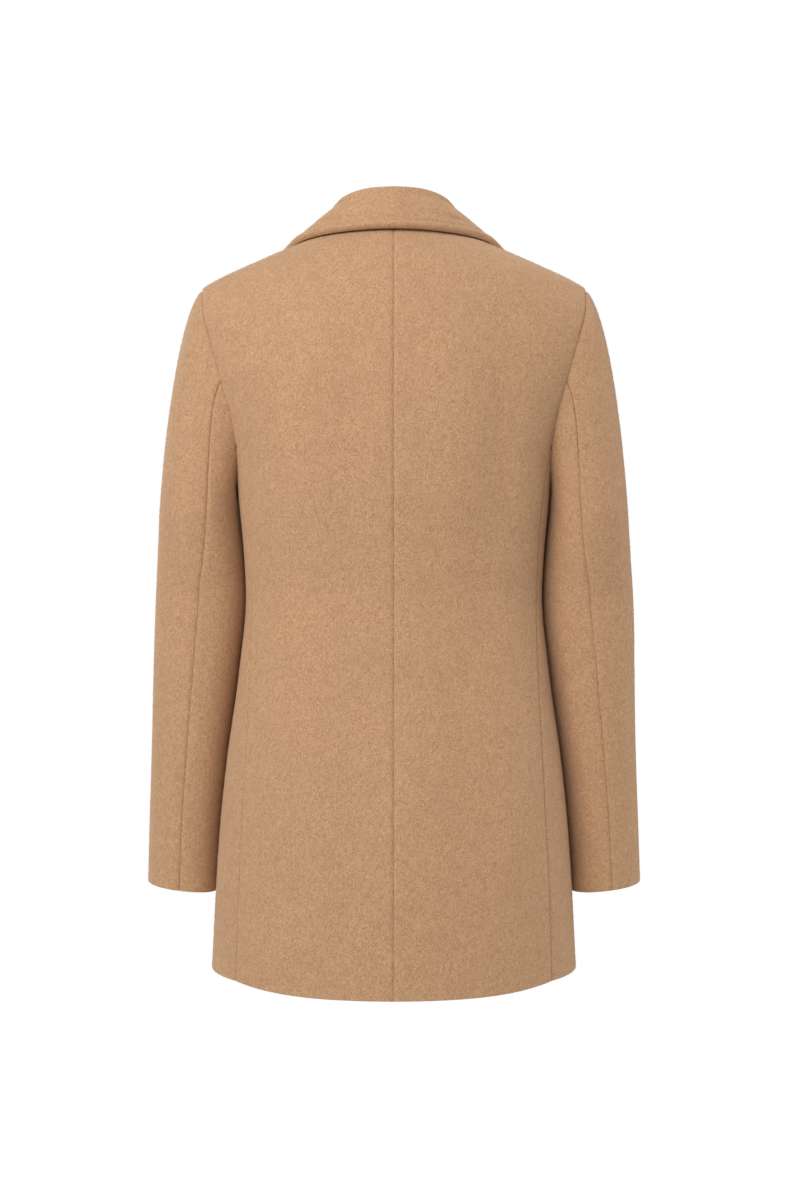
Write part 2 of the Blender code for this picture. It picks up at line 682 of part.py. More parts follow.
def make_lapels():
    """The turned-back part of each front, which lies on it up to the collar."""
    for side in ("left", "right"):
        low = LEFT_LAPEL_LOW if side == "left" else BREAK_HEIGHT + LAPEL_CLEARANCE
        top = lapel_top(*lapel_border(1.0, low))
        outer = []
        inner = []
        for i in range(LAPEL_ROWS + 1):
            rise = i / LAPEL_ROWS
            roll, edge = lapel_border(rise, low)
            if side == "left":
                roll[0] = max(roll[0], LAPEL_LOW_WIDTH - roll[0])
            outer_row = []
            inner_row = []
            for j, u in enumerate(LAPEL_COLUMNS):
                straight = roll + u * (edge - roll)
                last = np.array(top[0]) + u * (np.array(top[-1]) - np.array(top[0]))
                across, height = straight + rise**5 * (np.array(top[j]) - last)
                stand = LAPEL_REST + (lap_lift(across, height) if side == "right" else 0.0)
                at_edge = j in (0, len(LAPEL_COLUMNS) - 1)
                thick = LAPEL_THICKNESS * (LAPEL_EDGE_SHARE if at_edge else 1.0)
                inner_row.append(lifted(across, height, stand))
                outer_row.append(lifted(across, height, stand + thick))
            outer.append(outer_row)
            inner.append(inner_row)
        outer = np.array(outer)
        inner = np.array(inner)
        if side == "right":
            outer, inner = mirrored(outer), mirrored(inner)
        add_wall(f"lapel_{side}", outer, inner, cloth_material("lapel_wool", CAMEL))


def collar_point(line, place):
    """Point of the collar's seam, fold or edge at a place: 0 is the centre back."""
    if line == "fold":
        return np.array([collar[f"fold_{name}"](place) for name in ("across", "back", "height")])
    if line == "seam":
        neck_place = collar["neck_place"](place)
        across, height = neck_line(neck_place)
        facing = 1 if neck_place < 1 else -1
        base = np.array((across, depth_at(across, height, facing), height))
        return base - CLOTH / 2 * trunk_normal(base)
    base = around_trunk(radians(collar["edge_angle"](place)), collar["edge_height"](place))
    return base + (COLLAR_EDGE_THICKNESS / 2 + SEAM_GAP) * trunk_normal(base)


def collar_profile(place):
    """Middle line of the collar's section from the neck seam over the fold to the edge."""
    seam = collar_point("seam", place)
    fold = collar_point("fold", place)
    edge = collar_point("edge", place)
    up = fold - (seam + edge) / 2
    up /= np.linalg.norm(up)
    out = edge - seam
    out -= up * out.dot(up)
    out /= np.linalg.norm(out)
    centre = fold - FOLD_RADIUS * up
    top_of_stand = centre - FOLD_RADIUS * out
    top_of_fall = centre + FOLD_RADIUS * out
    rise = top_of_stand - seam
    start = seam + COLLAR_SEAT * rise / np.linalg.norm(rise)
    points = [start + t * (top_of_stand - start) for t in STAND_SHARES]
    for turn in FOLD_TURNS:
        points.append(centre + FOLD_RADIUS * (sin(radians(turn)) * up - cos(radians(turn)) * out))
    drop = edge - top_of_fall
    side = np.cross(drop, up)
    bow = np.cross(side, drop)
    bow /= np.linalg.norm(bow)
    for t in FALL_SHARES:
        points.append(top_of_fall + t * drop + FALL_BOW * sin(pi * t**FALL_BOW_RISE) * bow)
    return np.array(points)


def clear_of_trunk(point, clearance):
    """Moves a point out along the trunk's normal until it stands clear."""
    for _ in range(3):
        normal = trunk_normal(point)
        step = 1e-5
        slope = (outside(point + step * normal) - outside(point)) / step
        stand = (outside(point) - 1) / slope
        if stand >= clearance:
            break
        point = point + (clearance - stand) * normal
    return point


def make_collar():
    """One folded band from front end to front end: the stand, the fold and the fall."""
    last = len(COLLAR) - 1
    places = np.linspace(0, last, last * COLLAR_STEPS_PER_STATION + 1)
    left = np.array([collar_profile(place) for place in places])
    fall_from = len(STAND_SHARES) + len(FOLD_TURNS)
    for row in left:
        for j in range(fall_from, left.shape[1]):
            clearance = COLLAR_WALL[j] / 2 + SEAM_GAP + COLLAR_REST
            row[j] = clear_of_trunk(row[j], clearance)
    middle = np.concatenate([mirrored(left[:0:-1]), left])
    normals = np.cross(np.gradient(middle, axis=0), np.gradient(middle, axis=1))
    normals /= np.linalg.norm(normals, axis=2, keepdims=True)
    half = np.array(COLLAR_WALL)[None, :, None] / 2
    add_wall("collar", middle + half * normals, middle - half * normals,
             cloth_material("collar_wool", CAMEL))


def turned_button(name):
    """A flat button turned about Z: a rim round a dished face, with a smooth back."""
    radius = BUTTON_DIAMETER / 2
    profile = (
        (0.0, BUTTON_THICKNESS - BUTTON_DISH),
        (radius - BUTTON_RIM, BUTTON_THICKNESS - BUTTON_DISH),
        (radius - 0.6 * BUTTON_RIM, BUTTON_THICKNESS),
        (radius - 0.2 * BUTTON_RIM, 0.9 * BUTTON_THICKNESS),
        (radius, 0.55 * BUTTON_THICKNESS),
        (radius - 0.3 * BUTTON_RIM, 0.12 * BUTTON_THICKNESS),
        (radius - BUTTON_RIM, 0.0),
        (0.0, 0.0),
    )
    mesh = bpy.data.meshes.new(name)
    edges = [(i, i + 1) for i in range(len(profile) - 1)]
    mesh.from_pydata([(x, 0.0, z) for x, z in profile], edges, [])
    button = add_object(name, mesh, horn_material("button_horn"))
    turn = button.modifiers.new("Turn", "SCREW")
    turn.axis = "Z"
    turn.steps = BUTTON_STEPS
    turn.render_steps = BUTTON_STEPS
    turn.use_merge_vertices = True
    turn.merge_threshold = 0.00001
    return button


def drill_button(button):
    """Four thread holes through the button."""
    for i in range(4):
        turn = pi / 4 + i * pi / 2
        bpy.ops.mesh.primitive_cylinder_add(
            vertices=BUTTON_HOLE_STEPS,
            radius=BUTTON_HOLE_DIAMETER / 2,
            depth=4 * BUTTON_THICKNESS,
            location=(BUTTON_HOLE_SPREAD * cos(turn), BUTTON_HOLE_SPREAD * sin(turn), 0.0),
        )
        drill = bpy.context.object
        drill.name = f"{button.name}_drill_{i + 1}"
        for collection in list(drill.users_collection):
            collection.objects.unlink(drill)
        cutters.objects.link(drill)
        drill.parent = button
        drill.hide_render = True
        drill.display_type = "WIRE"
        hole = button.modifiers.new(f"Hole {i + 1}", "BOOLEAN")
        hole.operation = "DIFFERENCE"
        hole.solver = "EXACT"
        hole.object = drill


def make_buttons():
    """Two buttons on the centre line of the right front, facing forwards."""
    for name, height in BUTTON_HEIGHTS.items():
        button = turned_button(name)
        drill_button(button)
        stand = lap_lift(0.0, height) + BUTTON_STAND_OFF
        base = np.array((0.0, depth_at(0.0, height, -1), height))
        normal = trunk_normal(base)
        button.location = base + stand * normal
        button.rotation_euler = Vector(normal).to_track_quat("Z", "Y").to_euler()


collar = {
    name: smooth_curve(range(len(COLLAR)), [getattr(row, name) for row in COLLAR])
    for name in CollarStation._fields
}


def main():
    make_backs()
    make_sides()
    make_fronts()
    make_sleeves()
    make_lapels()
    make_collar()
    make_buttons()


for old in list(bpy.data.objects):
    bpy.data.objects.remove(old, do_unlink=True)
blazer = bpy.data.collections.new("blazer")
cutters = bpy.data.collections.new("cutters")
bpy.context.scene.collection.children.link(blazer)
bpy.context.scene.collection.children.link(cutters)
main()
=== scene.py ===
"""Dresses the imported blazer: brushed wool panels, rolled lapels, fall collar, sewing and nap.

The file is laid out as an add-on and run as a script. The wearer faces -Y, their left side is
+X and +Z is up; all sizes are in metres. The trunk is one smooth form given by level sections,
each body panel is a patch of that form between its seams, and the sleeves are rings that start
at the armhole.
"""

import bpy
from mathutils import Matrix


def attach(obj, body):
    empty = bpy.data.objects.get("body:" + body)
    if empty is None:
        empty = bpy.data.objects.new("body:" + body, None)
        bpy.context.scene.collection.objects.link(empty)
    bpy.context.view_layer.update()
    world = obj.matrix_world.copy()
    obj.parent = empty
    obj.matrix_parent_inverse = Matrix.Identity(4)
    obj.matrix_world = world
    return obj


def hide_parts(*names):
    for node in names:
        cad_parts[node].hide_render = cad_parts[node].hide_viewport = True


bl_info = {
    "name": "Wool blazer",
    "version": (1, 0, 0),
    "blender": (4, 5, 0),
    "location": "View3D > Sidebar > Blazer",
    "description": "Makes the cloth, sewing, buttons and stage of a worn wool blazer",
    "category": "Object",
}

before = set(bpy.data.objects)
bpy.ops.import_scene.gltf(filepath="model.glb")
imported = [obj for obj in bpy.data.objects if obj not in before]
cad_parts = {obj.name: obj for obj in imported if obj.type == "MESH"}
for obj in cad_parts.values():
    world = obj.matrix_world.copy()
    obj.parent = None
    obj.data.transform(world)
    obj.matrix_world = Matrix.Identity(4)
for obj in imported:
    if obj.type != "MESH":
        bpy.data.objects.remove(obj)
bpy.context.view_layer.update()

from collections import namedtuple
from math import cos, pi, radians, sin

import bmesh
import bpy
import numpy as np
from mathutils import Vector

# Heights and widths of the trunk
HEM_HEIGHT = -0.7385
HEM_SIDE_RISE = 0.0125
HEM_HALF_WIDTH = 0.190
NECK_BACK_HEIGHT = 0.0325
NECK_POINT_HEIGHT = 0.0345
SHOULDER_TIP_HEIGHT = -0.026

# Armhole, an egg seen from the side, with a whole turn split into equal steps
ARMHOLE_CENTRE_HEIGHT = -0.129
ARMHOLE_HALF_HEIGHT = 0.103
ARMHOLE_BACK_REACH = 0.060
ARMHOLE_FRONT_REACH = 0.056
ARMHOLE_STEPS = 28
SLEEVE_BACK_SEAM_STEP = 7
SIDE_BACK_SEAM_STEP = 10
SIDE_FRONT_SEAM_STEP = 18
SLEEVE_FRONT_SEAM_STEP = 19

# Front opening: the right front laps over the left
OVERLAP = 0.022
BREAK_HEIGHT = -0.300
ROLL_TOP_HEIGHT = -0.010
ROLL_TOP_ACROSS = 0.0605
LAP_LIFT = 0.0034
LAP_START = 0.062
LAP_END = 0.030
# Above the break, the lap's lift fades between these heights.
LAP_FADE_START = 0.06
LAP_FADE_END = 0.16

# Lapels
LAPEL_TIP_ACROSS = 0.130
LAPEL_TIP_HEIGHT = -0.062
LAPEL_LOW_WIDTH = 0.007
LAPEL_BELLY = 0.006
LAPEL_NOTCH_SHARE = 0.58
LAPEL_NOTCH_COLUMN_SHARE = 0.42
LAPEL_CLEARANCE = 0.0012
LEFT_LAPEL_LOW = -0.250
LAPEL_REST = 0.0006
LAPEL_THICKNESS = 0.0030
# The right lapel's foot lies this far below the break.
RIGHT_LAPEL_DROP = 0.004
# A front draws back from its roll line from this far below the lapel's foot, and comes out again
# between these two distances below the roll's top.
INSET_START = 0.012
INSET_END_LOW = 0.020
INSET_END_HIGH = 0.002

# Sleeves
SLEEVE_CAP_ROWS = 6
SLEEVE_LEVELS = 12
CAP_REACH_TOP = 0.034
CAP_REACH_UNDER = 0.006
CAP_LIFT_TOP = 0.092
CAP_LIFT_UNDER = 0.008
CAP_FULLNESS = 0.16
CAP_LEAN = 0.006
# How far the cap first heads out and down from the armhole, at its foot and at its top
CAP_OUT_UNDER = 0.35
CAP_OUT_TOP = 0.70
CAP_DOWN_UNDER = 0.95
CAP_DOWN_TOP = 0.77
CUFF_TILT = 0.12
SLEEVE_INNER_ROUND = 2.5
SLEEVE_OUTER_ROUND = 2.1
SLEEVE_EXTRA_TURN = {"left": 0.0, "right": -6.0}
# A sleeve's mean radius turns the angles of its folds into lengths.
SLEEVE_RADIUS = 0.046
# Rows between which a sleeve's folds start and end
SLEEVE_FOLD_START = (2.0, 5.0)
SLEEVE_FOLD_END = (16.5, 17.8)

# Rows of the pattern grid up a side seam, round the front neck and above the break
SIDE_SEAM_ROWS = 14
FRONT_NECK_ROWS = 3
ROWS_ABOVE_BREAK = 3
NECK_COLUMNS = 4
SHOULDER_COLUMNS = 8

# Mesh steps as shares of the cloth's grid step, and how far over the side seam's top the back's
# lower part ends
LAPEL_GRID_SHARE = 0.75
COLLAR_GRID_SHARE = 0.6
BACK_SPLIT_RISE = 0.004
SHARP_ANGLE = radians(60)

# Walls: the square of the least share of a half wall at a turned edge, and the swell beside a
# seam: its place and width in seam widths, its height and the inner face's dip in seam depths.
EDGE_LEAST_SHARE = 0.05
SWELL_PLACE = 2.6
SWELL_WIDTH = 1.6
SWELL_SHARE = 0.10
INNER_DIP_SHARE = 0.35

# Collar
FOLD_RADIUS = 0.0030
# The fall bows out by this much, most of all a third of the way down.
FALL_BOW = 0.0042
FALL_BOW_RISE = 0.62
COLLAR_SEAT = 0.0022
COLLAR_STAND_THICKNESS = 0.0034
COLLAR_FALL_THICKNESS = 0.0046
COLLAR_EDGE_THICKNESS = 0.0072
COLLAR_ROLL_WIDTH = 0.0060
COLLAR_GROOVE_DEPTH = 0.0001
# The groove's place and width, in widths of the rolled edge
COLLAR_GROOVE_PLACE = 1.35
COLLAR_GROOVE_WIDTH = 0.30
# Points over which the stand's wall thickens into the fall's, the radius of the ends in radii of
# the edge, and the square of the least share of a half wall there
COLLAR_THICKENING_STEPS = 6
COLLAR_END_SHARE = 0.7
COLLAR_THINNEST_SHARE = 0.02
# Gap between the collar and the body, and the far smaller one between sewn panels
SEAM_GAP = 0.0003
SEWN_GAP = 0.00001
CLOTH = 0.0025
ROLL_RADIUS = 0.0017
ROLL_STEPS = 11
LAPEL_SPRING = 0.0012
ARMHOLE_TURN_WIDTH = 0.007
# The edge stands off the back at its centre and lies down on the shoulders.
COLLAR_REST = 0.0002
COLLAR_CENTRE_REST = 0.0024
# The fall lies down near its edge: this far from it, it stands off the back by this much.
COLLAR_LIE_WIDTH = 0.008
COLLAR_STAND_OFF = 0.0020
COLLAR_LIE_END = 0.018
COLLAR_LIE_POWER = 4
# Stations between which the centre's stand-off and the hold on the back fade
COLLAR_CENTRE_STATIONS = (0.4, 3.0)
COLLAR_BACK_STATIONS = (2.2, 3.2)
# Rounds of easing along the band, so that it turns softly over the shoulders.
COLLAR_EASING = 16
STAND_STEPS = 9
FOLD_STEPS = 15
FALL_STEPS = 11
# Distances of the last grid lines from the collar's edge, closer where the edge rolls
FALL_EDGE_STEPS = (
    0.0120, 0.0104, 0.0094, 0.0087, 0.0081, 0.0075, 0.0068, 0.0058,
    0.0046, 0.0035, 0.0025, 0.0017, 0.0010, 0.0005, 0.0002, 0.0,
)

# Wool's pattern sizes: clouds of nap, curled fibres and grain. Real fibres are 0.02 mm thick,
# so locks of them are drawn instead.
CLOUD_SIZE = 0.030
CURL_SIZE = 0.0036
GRAIN_SIZE = 0.0011
NAP_DEPTH = 0.0007
NAP_SEED = 11
# How far the crease of a seam is darkened towards the seam's shade colour: painted shade for the shadow
# held in the crease, and partly for the bare line where no nap stands.
SEAM_SHADE = 0.25
# The dark brown of the painted shade in a seam's crease.
SEAM_SHADE_COLOUR = "5A3F2A"
# Share of the curled fibres in the nap's pattern; the rest is grain.
FIBRE_SHARE = 0.45

# Buttons, their thread and buttonholes
BUTTON_HEIGHTS = {"button_upper": -0.318, "button_lower": -0.425}
BUTTON_STAND_OFF = 0.0006
BUTTON_HOLE_SPREAD = 0.0025
BUTTON_FACE = 0.0030
BUTTONHOLE_LENGTH = 0.026
BUTTONHOLE_GAP = 0.0009
BUTTONHOLE_MIDDLE = -0.0090
BUTTONHOLE_STEPS = 48
STITCH_STAND_OFF = 0.0001
# Distance between two strands in radii of the thread, and an arch's radius in stitch lengths
STRAND_PITCH = 1.6
ARCH_SHARE = 0.55
# A strand from one hole to the next: place between the holes, and height in button faces.
THREAD_PATH = (
    (-1.0, 0.35), (-1.0, 0.95), (-0.85, 1.12), (0.0, 1.20), (0.85, 1.12), (1.0, 0.95), (1.0, 0.35),
)

# Stage
FLOOR_RADIUS = 1.35
CAMERA_LENS = 50.0
CAMERA_PLACE = (-0.0063, 1.750, -0.350)
LIGHT_AIM = Vector((0.0, 0.0, -0.35))
STUDIO_LIGHTS = (
    ("key_softbox", (0.85, 1.80, 0.80), 1.6, 1.0),
    ("front_softbox", (1.10, -2.10, 0.80), 2.0, 0.9),
    ("side_softbox", (-2.30, -0.60, 0.40), 2.0, 0.7),
)

# A curve runs on straight this far past its last value, before it stays level.
CURVE_OVERRUN = 0.003

TrunkSection = namedtuple("TrunkSection", "height half_width back front back_round front_round")
TRUNK = (
    TrunkSection(0.0345, 0.0700, 0.0570, 0.0560, 1.90, 1.90),
    TrunkSection(0.0220, 0.0990, 0.0690, 0.0680, 1.85, 1.85),
    TrunkSection(0.0090, 0.1308, 0.0800, 0.0790, 1.80, 1.80),
    TrunkSection(-0.0035, 0.1592, 0.0890, 0.0850, 1.78, 1.78),
    TrunkSection(-0.0160, 0.1862, 0.0955, 0.0905, 1.78, 1.78),
    TrunkSection(-0.0260, 0.2018, 0.0990, 0.0945, 1.80, 1.80),
    TrunkSection(-0.0580, 0.2140, 0.1080, 0.1040, 2.00, 2.00),
    TrunkSection(-0.0910, 0.2068, 0.1140, 0.1120, 2.20, 2.15),
    TrunkSection(-0.1250, 0.1956, 0.1175, 0.1190, 2.30, 2.20),
    TrunkSection(-0.1740, 0.1753, 0.1185, 0.1270, 2.40, 2.20),
    TrunkSection(-0.2160, 0.1645, 0.1160, 0.1305, 2.40, 2.20),
    TrunkSection(-0.2450, 0.1620, 0.1130, 0.1300, 2.40, 2.20),
    TrunkSection(-0.3080, 0.1563, 0.1030, 0.1200, 2.35, 2.20),
    TrunkSection(-0.3450, 0.1547, 0.0985, 0.1150, 2.30, 2.20),
    TrunkSection(-0.4250, 0.1620, 0.1040, 0.1160, 2.25, 2.20),
    TrunkSection(-0.5160, 0.1745, 0.1190, 0.1220, 2.20, 2.20),
    TrunkSection(-0.5830, 0.1815, 0.1280, 0.1265, 2.15, 2.20),
    TrunkSection(-0.6500, 0.1860, 0.1345, 0.1300, 2.10, 2.15),
    TrunkSection(-0.7385, 0.1905, 0.1390, 0.1330, 2.05, 2.10),
)

SideSeams = namedtuple("SideSeams", "height back_across front_across")
SIDE_SEAMS = (
    SideSeams(-0.2160, 0.1575, 0.1510),
    SideSeams(-0.2450, 0.1535, 0.1460),
    SideSeams(-0.3050, 0.1485, 0.1390),
    SideSeams(-0.3650, 0.1470, 0.1370),
    SideSeams(-0.4350, 0.1485, 0.1400),
    SideSeams(-0.5400, 0.1520, 0.1470),
    SideSeams(-0.6500, 0.1568, 0.1530),
    SideSeams(-0.7385, 0.1595, 0.1560),
)

# Level sections of a sleeve below the armhole. The seam turns are in degrees about the ring.
SleeveSection = namedtuple(
    "SleeveSection", "height inner outer middle half_depth back_seam_turn front_seam_turn"
)
SLEEVES = (
    SleeveSection(-0.2620, 0.1618, 0.2460, -0.008, 0.0640, 18.0, 0.0),
    SleeveSection(-0.3050, 0.1577, 0.2490, -0.014, 0.0590, 10.5, -2.0),
    SleeveSection(-0.3450, 0.1553, 0.2518, -0.019, 0.0545, 3.0, -3.0),
    SleeveSection(-0.4250, 0.1636, 0.2550, -0.023, 0.0530, 2.0, -3.0),
    SleeveSection(-0.5160, 0.1758, 0.2576, -0.027, 0.0515, 2.0, -2.0),
    SleeveSection(-0.5830, 0.1822, 0.2600, -0.030, 0.0500, 1.0, -1.0),
    SleeveSection(-0.6530, 0.1860, 0.2622, -0.033, 0.0480, 1.0, 0.0),
)

# The collar from the centre back to its front end; 0 on the neck line is the centre back, 1 the
# neck point and 2 the roll's top. The edge lies on the trunk, at an angle round it.
CollarStation = namedtuple(
    "CollarStation", "neck_place fold_across fold_back fold_height edge_angle edge_height"
)
COLLAR = (
    CollarStation(0.00, 0.0000, 0.0500, 0.0692, 0.0, 0.0222),
    CollarStation(0.32, 0.0235, 0.0440, 0.0686, 30.0, 0.0220),
    CollarStation(0.66, 0.0415, 0.0290, 0.0642, 59.0, 0.0218),
    CollarStation(1.00, 0.0480, 0.0050, 0.0540, 89.0, 0.0195),
    CollarStation(1.34, 0.0540, -0.0270, 0.0430, 104.0, 0.0060),
    CollarStation(1.68, 0.0572, -0.0560, 0.0250, 112.0, -0.0090),
    CollarStation(1.93, 0.0605, -0.0822, -0.0036, 119.0, -0.0215),
)

# Along its line a fold's depth is a constant share, and for the rest a sine that is held level
# this near the ends. At the hem and the shoulders the trunk's folds fade to the border's share.
FOLD_END_SHARE = 0.25
FOLD_END_TRIM = 0.06
FOLD_FADE_HEM = (-0.725, -0.690)
FOLD_FADE_SHOULDER = (-0.075, -0.030)
FOLD_BORDER_SHARE = 0.35

# Soft troughs (negative) and ridges on the trunk: a line from one point to the other, seen from
# the back (facing 1) or the front (facing -1), with the spread of its shape either side.
Fold = namedtuple("Fold", "facing from_across from_height to_across to_height spread depth")
TRUNK_FOLDS = (
    Fold(1, -0.114, -0.075, -0.106, -0.285, 0.020, -0.0034),
    Fold(1, -0.070, -0.110, -0.066, -0.290, 0.022, 0.0012),
    Fold(1, 0.045, -0.095, 0.040, -0.330, 0.022, -0.0024),
    Fold(1, 0.094, -0.090, 0.100, -0.290, 0.022, 0.0014),
    Fold(1, -0.082, -0.300, -0.088, -0.440, 0.024, -0.0018),
    Fold(1, 0.100, -0.400, 0.120, -0.650, 0.024, 0.0020),
    Fold(1, 0.040, -0.450, 0.044, -0.715, 0.024, -0.0024),
    Fold(1, -0.058, -0.440, -0.074, -0.700, 0.026, -0.0022),
    Fold(1, -0.020, -0.340, -0.030, -0.620, 0.026, 0.0012),
    Fold(1, -0.116, -0.470, -0.134, -0.680, 0.022, 0.0016),
    Fold(-1, 0.118, -0.110, 0.108, -0.250, 0.016, -0.0016),
    Fold(-1, -0.120, -0.115, -0.112, -0.240, 0.017, -0.0014),
    Fold(-1, 0.010, -0.322, 0.095, -0.285, 0.011, -0.0011),
    Fold(-1, -0.014, -0.326, -0.100, -0.300, 0.012, -0.0010),
    Fold(-1, 0.012, -0.332, 0.090, -0.372, 0.013, 0.0009),
    Fold(-1, -0.016, -0.334, -0.082, -0.378, 0.013, 0.0009),
    Fold(-1, 0.070, -0.480, 0.084, -0.690, 0.022, -0.0015),
    Fold(-1, -0.062, -0.500, -0.080, -0.700, 0.024, -0.0014),
    Fold(-1, 0.112, -0.450, 0.126, -0.660, 0.018, 0.0012),
)

# The same on the sleeves, by the turn round the ring (0 outside, 90 at the back) in degrees.
SleeveFold = namedtuple("SleeveFold", "from_turn from_height to_turn to_height spread depth")
SLEEVE_FOLDS = {
    "left": (
        SleeveFold(60, -0.175, 118, -0.235, 0.014, -0.0014),
        SleeveFold(50, -0.330, 112, -0.372, 0.012, -0.0012),
        SleeveFold(-130, -0.305, -70, -0.345, 0.011, -0.0018),
        SleeveFold(-135, -0.350, -75, -0.372, 0.010, -0.0015),
        SleeveFold(-60, -0.190, -110, -0.240, 0.013, -0.0016),
        SleeveFold(25, -0.120, 30, -0.300, 0.020, 0.0008),
        SleeveFold(60, -0.440, 66, -0.600, 0.017, -0.0010),
    ),
    "right": (
        SleeveFold(136, -0.125, 150, -0.220, 0.014, -0.0040),
        SleeveFold(62, -0.180, 122, -0.225, 0.013, -0.0012),
        SleeveFold(42, -0.345, 108, -0.365, 0.013, -0.0013),
        SleeveFold(-132, -0.312, -68, -0.338, 0.012, -0.0017),
        SleeveFold(-130, -0.362, -80, -0.378, 0.010, -0.0013),
        SleeveFold(-55, -0.195, -112, -0.235, 0.013, -0.0015),
        SleeveFold(30, -0.420, 36, -0.620, 0.018, -0.0012),
        SleeveFold(8, -0.300, 20, -0.420, 0.018, 0.0008),
    ),
}

# Distances of grid lines from a panel's border, where its edge turns or its seam dips
BORDER_STEPS = (0.0, 0.0003, 0.0007, 0.0012, 0.0019, 0.0029, 0.0043, 0.0062)

# The cut of each kind of panel: width and length of the cloth it is cut from, and its own area.
Cut = namedtuple("Cut", "width length area")


def smooth_curve(stops, values):
    """A function through the given values that never overshoots between two of them."""
    order = np.argsort(stops)
    x = np.asarray(stops, float)[order]
    y = np.asarray(values, float)[order]
    run = np.diff(x)
    rise = np.diff(y) / run
    slope = np.zeros(len(x))
    slope[0] = rise[0]
    slope[-1] = rise[-1]
    same_way = rise[:-1] * rise[1:] > 0
    before = 2 * run[1:] + run[:-1]
    after = run[1:] + 2 * run[:-1]
    safe_before = np.where(same_way, rise[:-1], 1.0)
    safe_after = np.where(same_way, rise[1:], 1.0)
    mean = (before + after) / (before / safe_before + after / safe_after)
    slope[1:-1] = np.where(same_way, mean, 0.0)

    def value_at(where):
        where = np.asarray(where, float)
        i = np.clip(np.searchsorted(x, where) - 1, 0, len(run) - 1)
        t = (where - x[i]) / run[i]
        step = t * t * (3 - 2 * t)
        ease = t * (1 - t) ** 2 * slope[i] + t * t * (t - 1) * slope[i + 1]
        inside = y[i] + step * (y[i + 1] - y[i]) + run[i] * ease
        low = y[0] + slope[0] * np.maximum(where - x[0], -CURVE_OVERRUN)
        high = y[-1] + slope[-1] * np.minimum(where - x[-1], CURVE_OVERRUN)
        return np.where(t < 0, low, np.where(t > 1, high, inside))

    return value_at


def curves_of(table, key):
    """One smooth curve for each column of a table, over its key column."""
    stops = [getattr(row, key) for row in table]
    return {
        name: smooth_curve(stops, [getattr(row, name) for row in table])
        for name in table[0]._fields
        if name != key
    }


def smoothstep(start, end, value):
    t = np.clip((value - start) / (end - start), 0.0, 1.0)
    return t * t * (3 - 2 * t)


def unit(vectors):
    return vectors / np.maximum(np.linalg.norm(vectors, axis=-1, keepdims=True), 1e-12)


trunk = curves_of(TRUNK, "height")
sleeve = curves_of(SLEEVES, "height")
# The band runs on past the centre back, so that both halves join without a kink.
AHEAD = [-1 if name in ("neck_place", "fold_across", "edge_angle") else 1 for name in COLLAR[0]._fields]
collar = {
    name: smooth_curve(
        range(-1, len(COLLAR)), [sign * COLLAR[1][i]] + [station[i] for station in COLLAR]
    )
    for i, (name, sign) in enumerate(zip(COLLAR[0]._fields, AHEAD))
}


# The trunk's form


def side_of_trunk(facing, height):
    """Depth and roundness of the back (facing above 0) or front at a height."""
    at_back = np.asarray(facing) > 0
    depth = np.where(at_back, trunk["back"](height), trunk["front"](height))
    power = np.where(at_back, trunk["back_round"](height), trunk["front_round"](height))
    return depth, power


def depth_at(across, height, facing):
    """Y of the trunk's back or front, at a distance from the centre plane and a height."""
    depth, power = side_of_trunk(facing, height)
    inside = 1 - (np.abs(across) / trunk["half_width"](height)) ** power
    return np.where(np.asarray(facing) > 0, 1, -1) * depth * np.maximum(inside, 0.0) ** (1 / power)


def across_at(back, height):
    """X of the trunk's left side, at a Y and a height."""
    depth, power = side_of_trunk(np.where(back >= 0, 1, -1), height)
    inside = 1 - (np.abs(back) / depth) ** power
    return trunk["half_width"](height) * np.maximum(inside, 0.0) ** (1 / power)


def around_trunk(angle, height):
    """Points at an angle round the trunk from the centre back, towards the left side."""
    depth, power = side_of_trunk(np.where(np.cos(angle) >= 0, 1, -1), height)
    wide = (np.abs(np.sin(angle)) / trunk["half_width"](height)) ** power
    deep = (np.abs(np.cos(angle)) / depth) ** power
    radius = (wide + deep) ** (-1 / power)
    return np.stack([radius * np.sin(angle), radius * np.cos(angle), height + 0 * radius], -1)


def outside(points):
    """Above 1 outside the trunk and below 1 inside it."""
    x, y, z = np.moveaxis(points, -1, 0)
    depth, power = side_of_trunk(np.where(y >= 0, 1, -1), z)
    return (np.abs(x) / trunk["half_width"](z)) ** power + (np.abs(y) / depth) ** power


def trunk_normal(points):
    """Unit vectors out of the trunk at points on it."""
    step = 1e-5
    slope = [
        outside(points + step * axis) - outside(points - step * axis) for axis in np.eye(3)
    ]
    return unit(np.stack(slope, -1))


def hem_height(across):
    return HEM_HEIGHT + HEM_SIDE_RISE * np.minimum(np.abs(across) / HEM_HALF_WIDTH, 1.0) ** 4


def armhole_point(step):
    """Points on the left armhole; step 0 is the shoulder tip and the steps run down the back."""
    turn = 2 * pi * np.asarray(step, float) / ARMHOLE_STEPS
    height = ARMHOLE_CENTRE_HEIGHT + ARMHOLE_HALF_HEIGHT * np.cos(turn)
    reach = np.where(np.sin(turn) >= 0, ARMHOLE_BACK_REACH, ARMHOLE_FRONT_REACH)
    back = reach * np.sin(turn)
    return np.stack([across_at(back, height), back, height], -1)


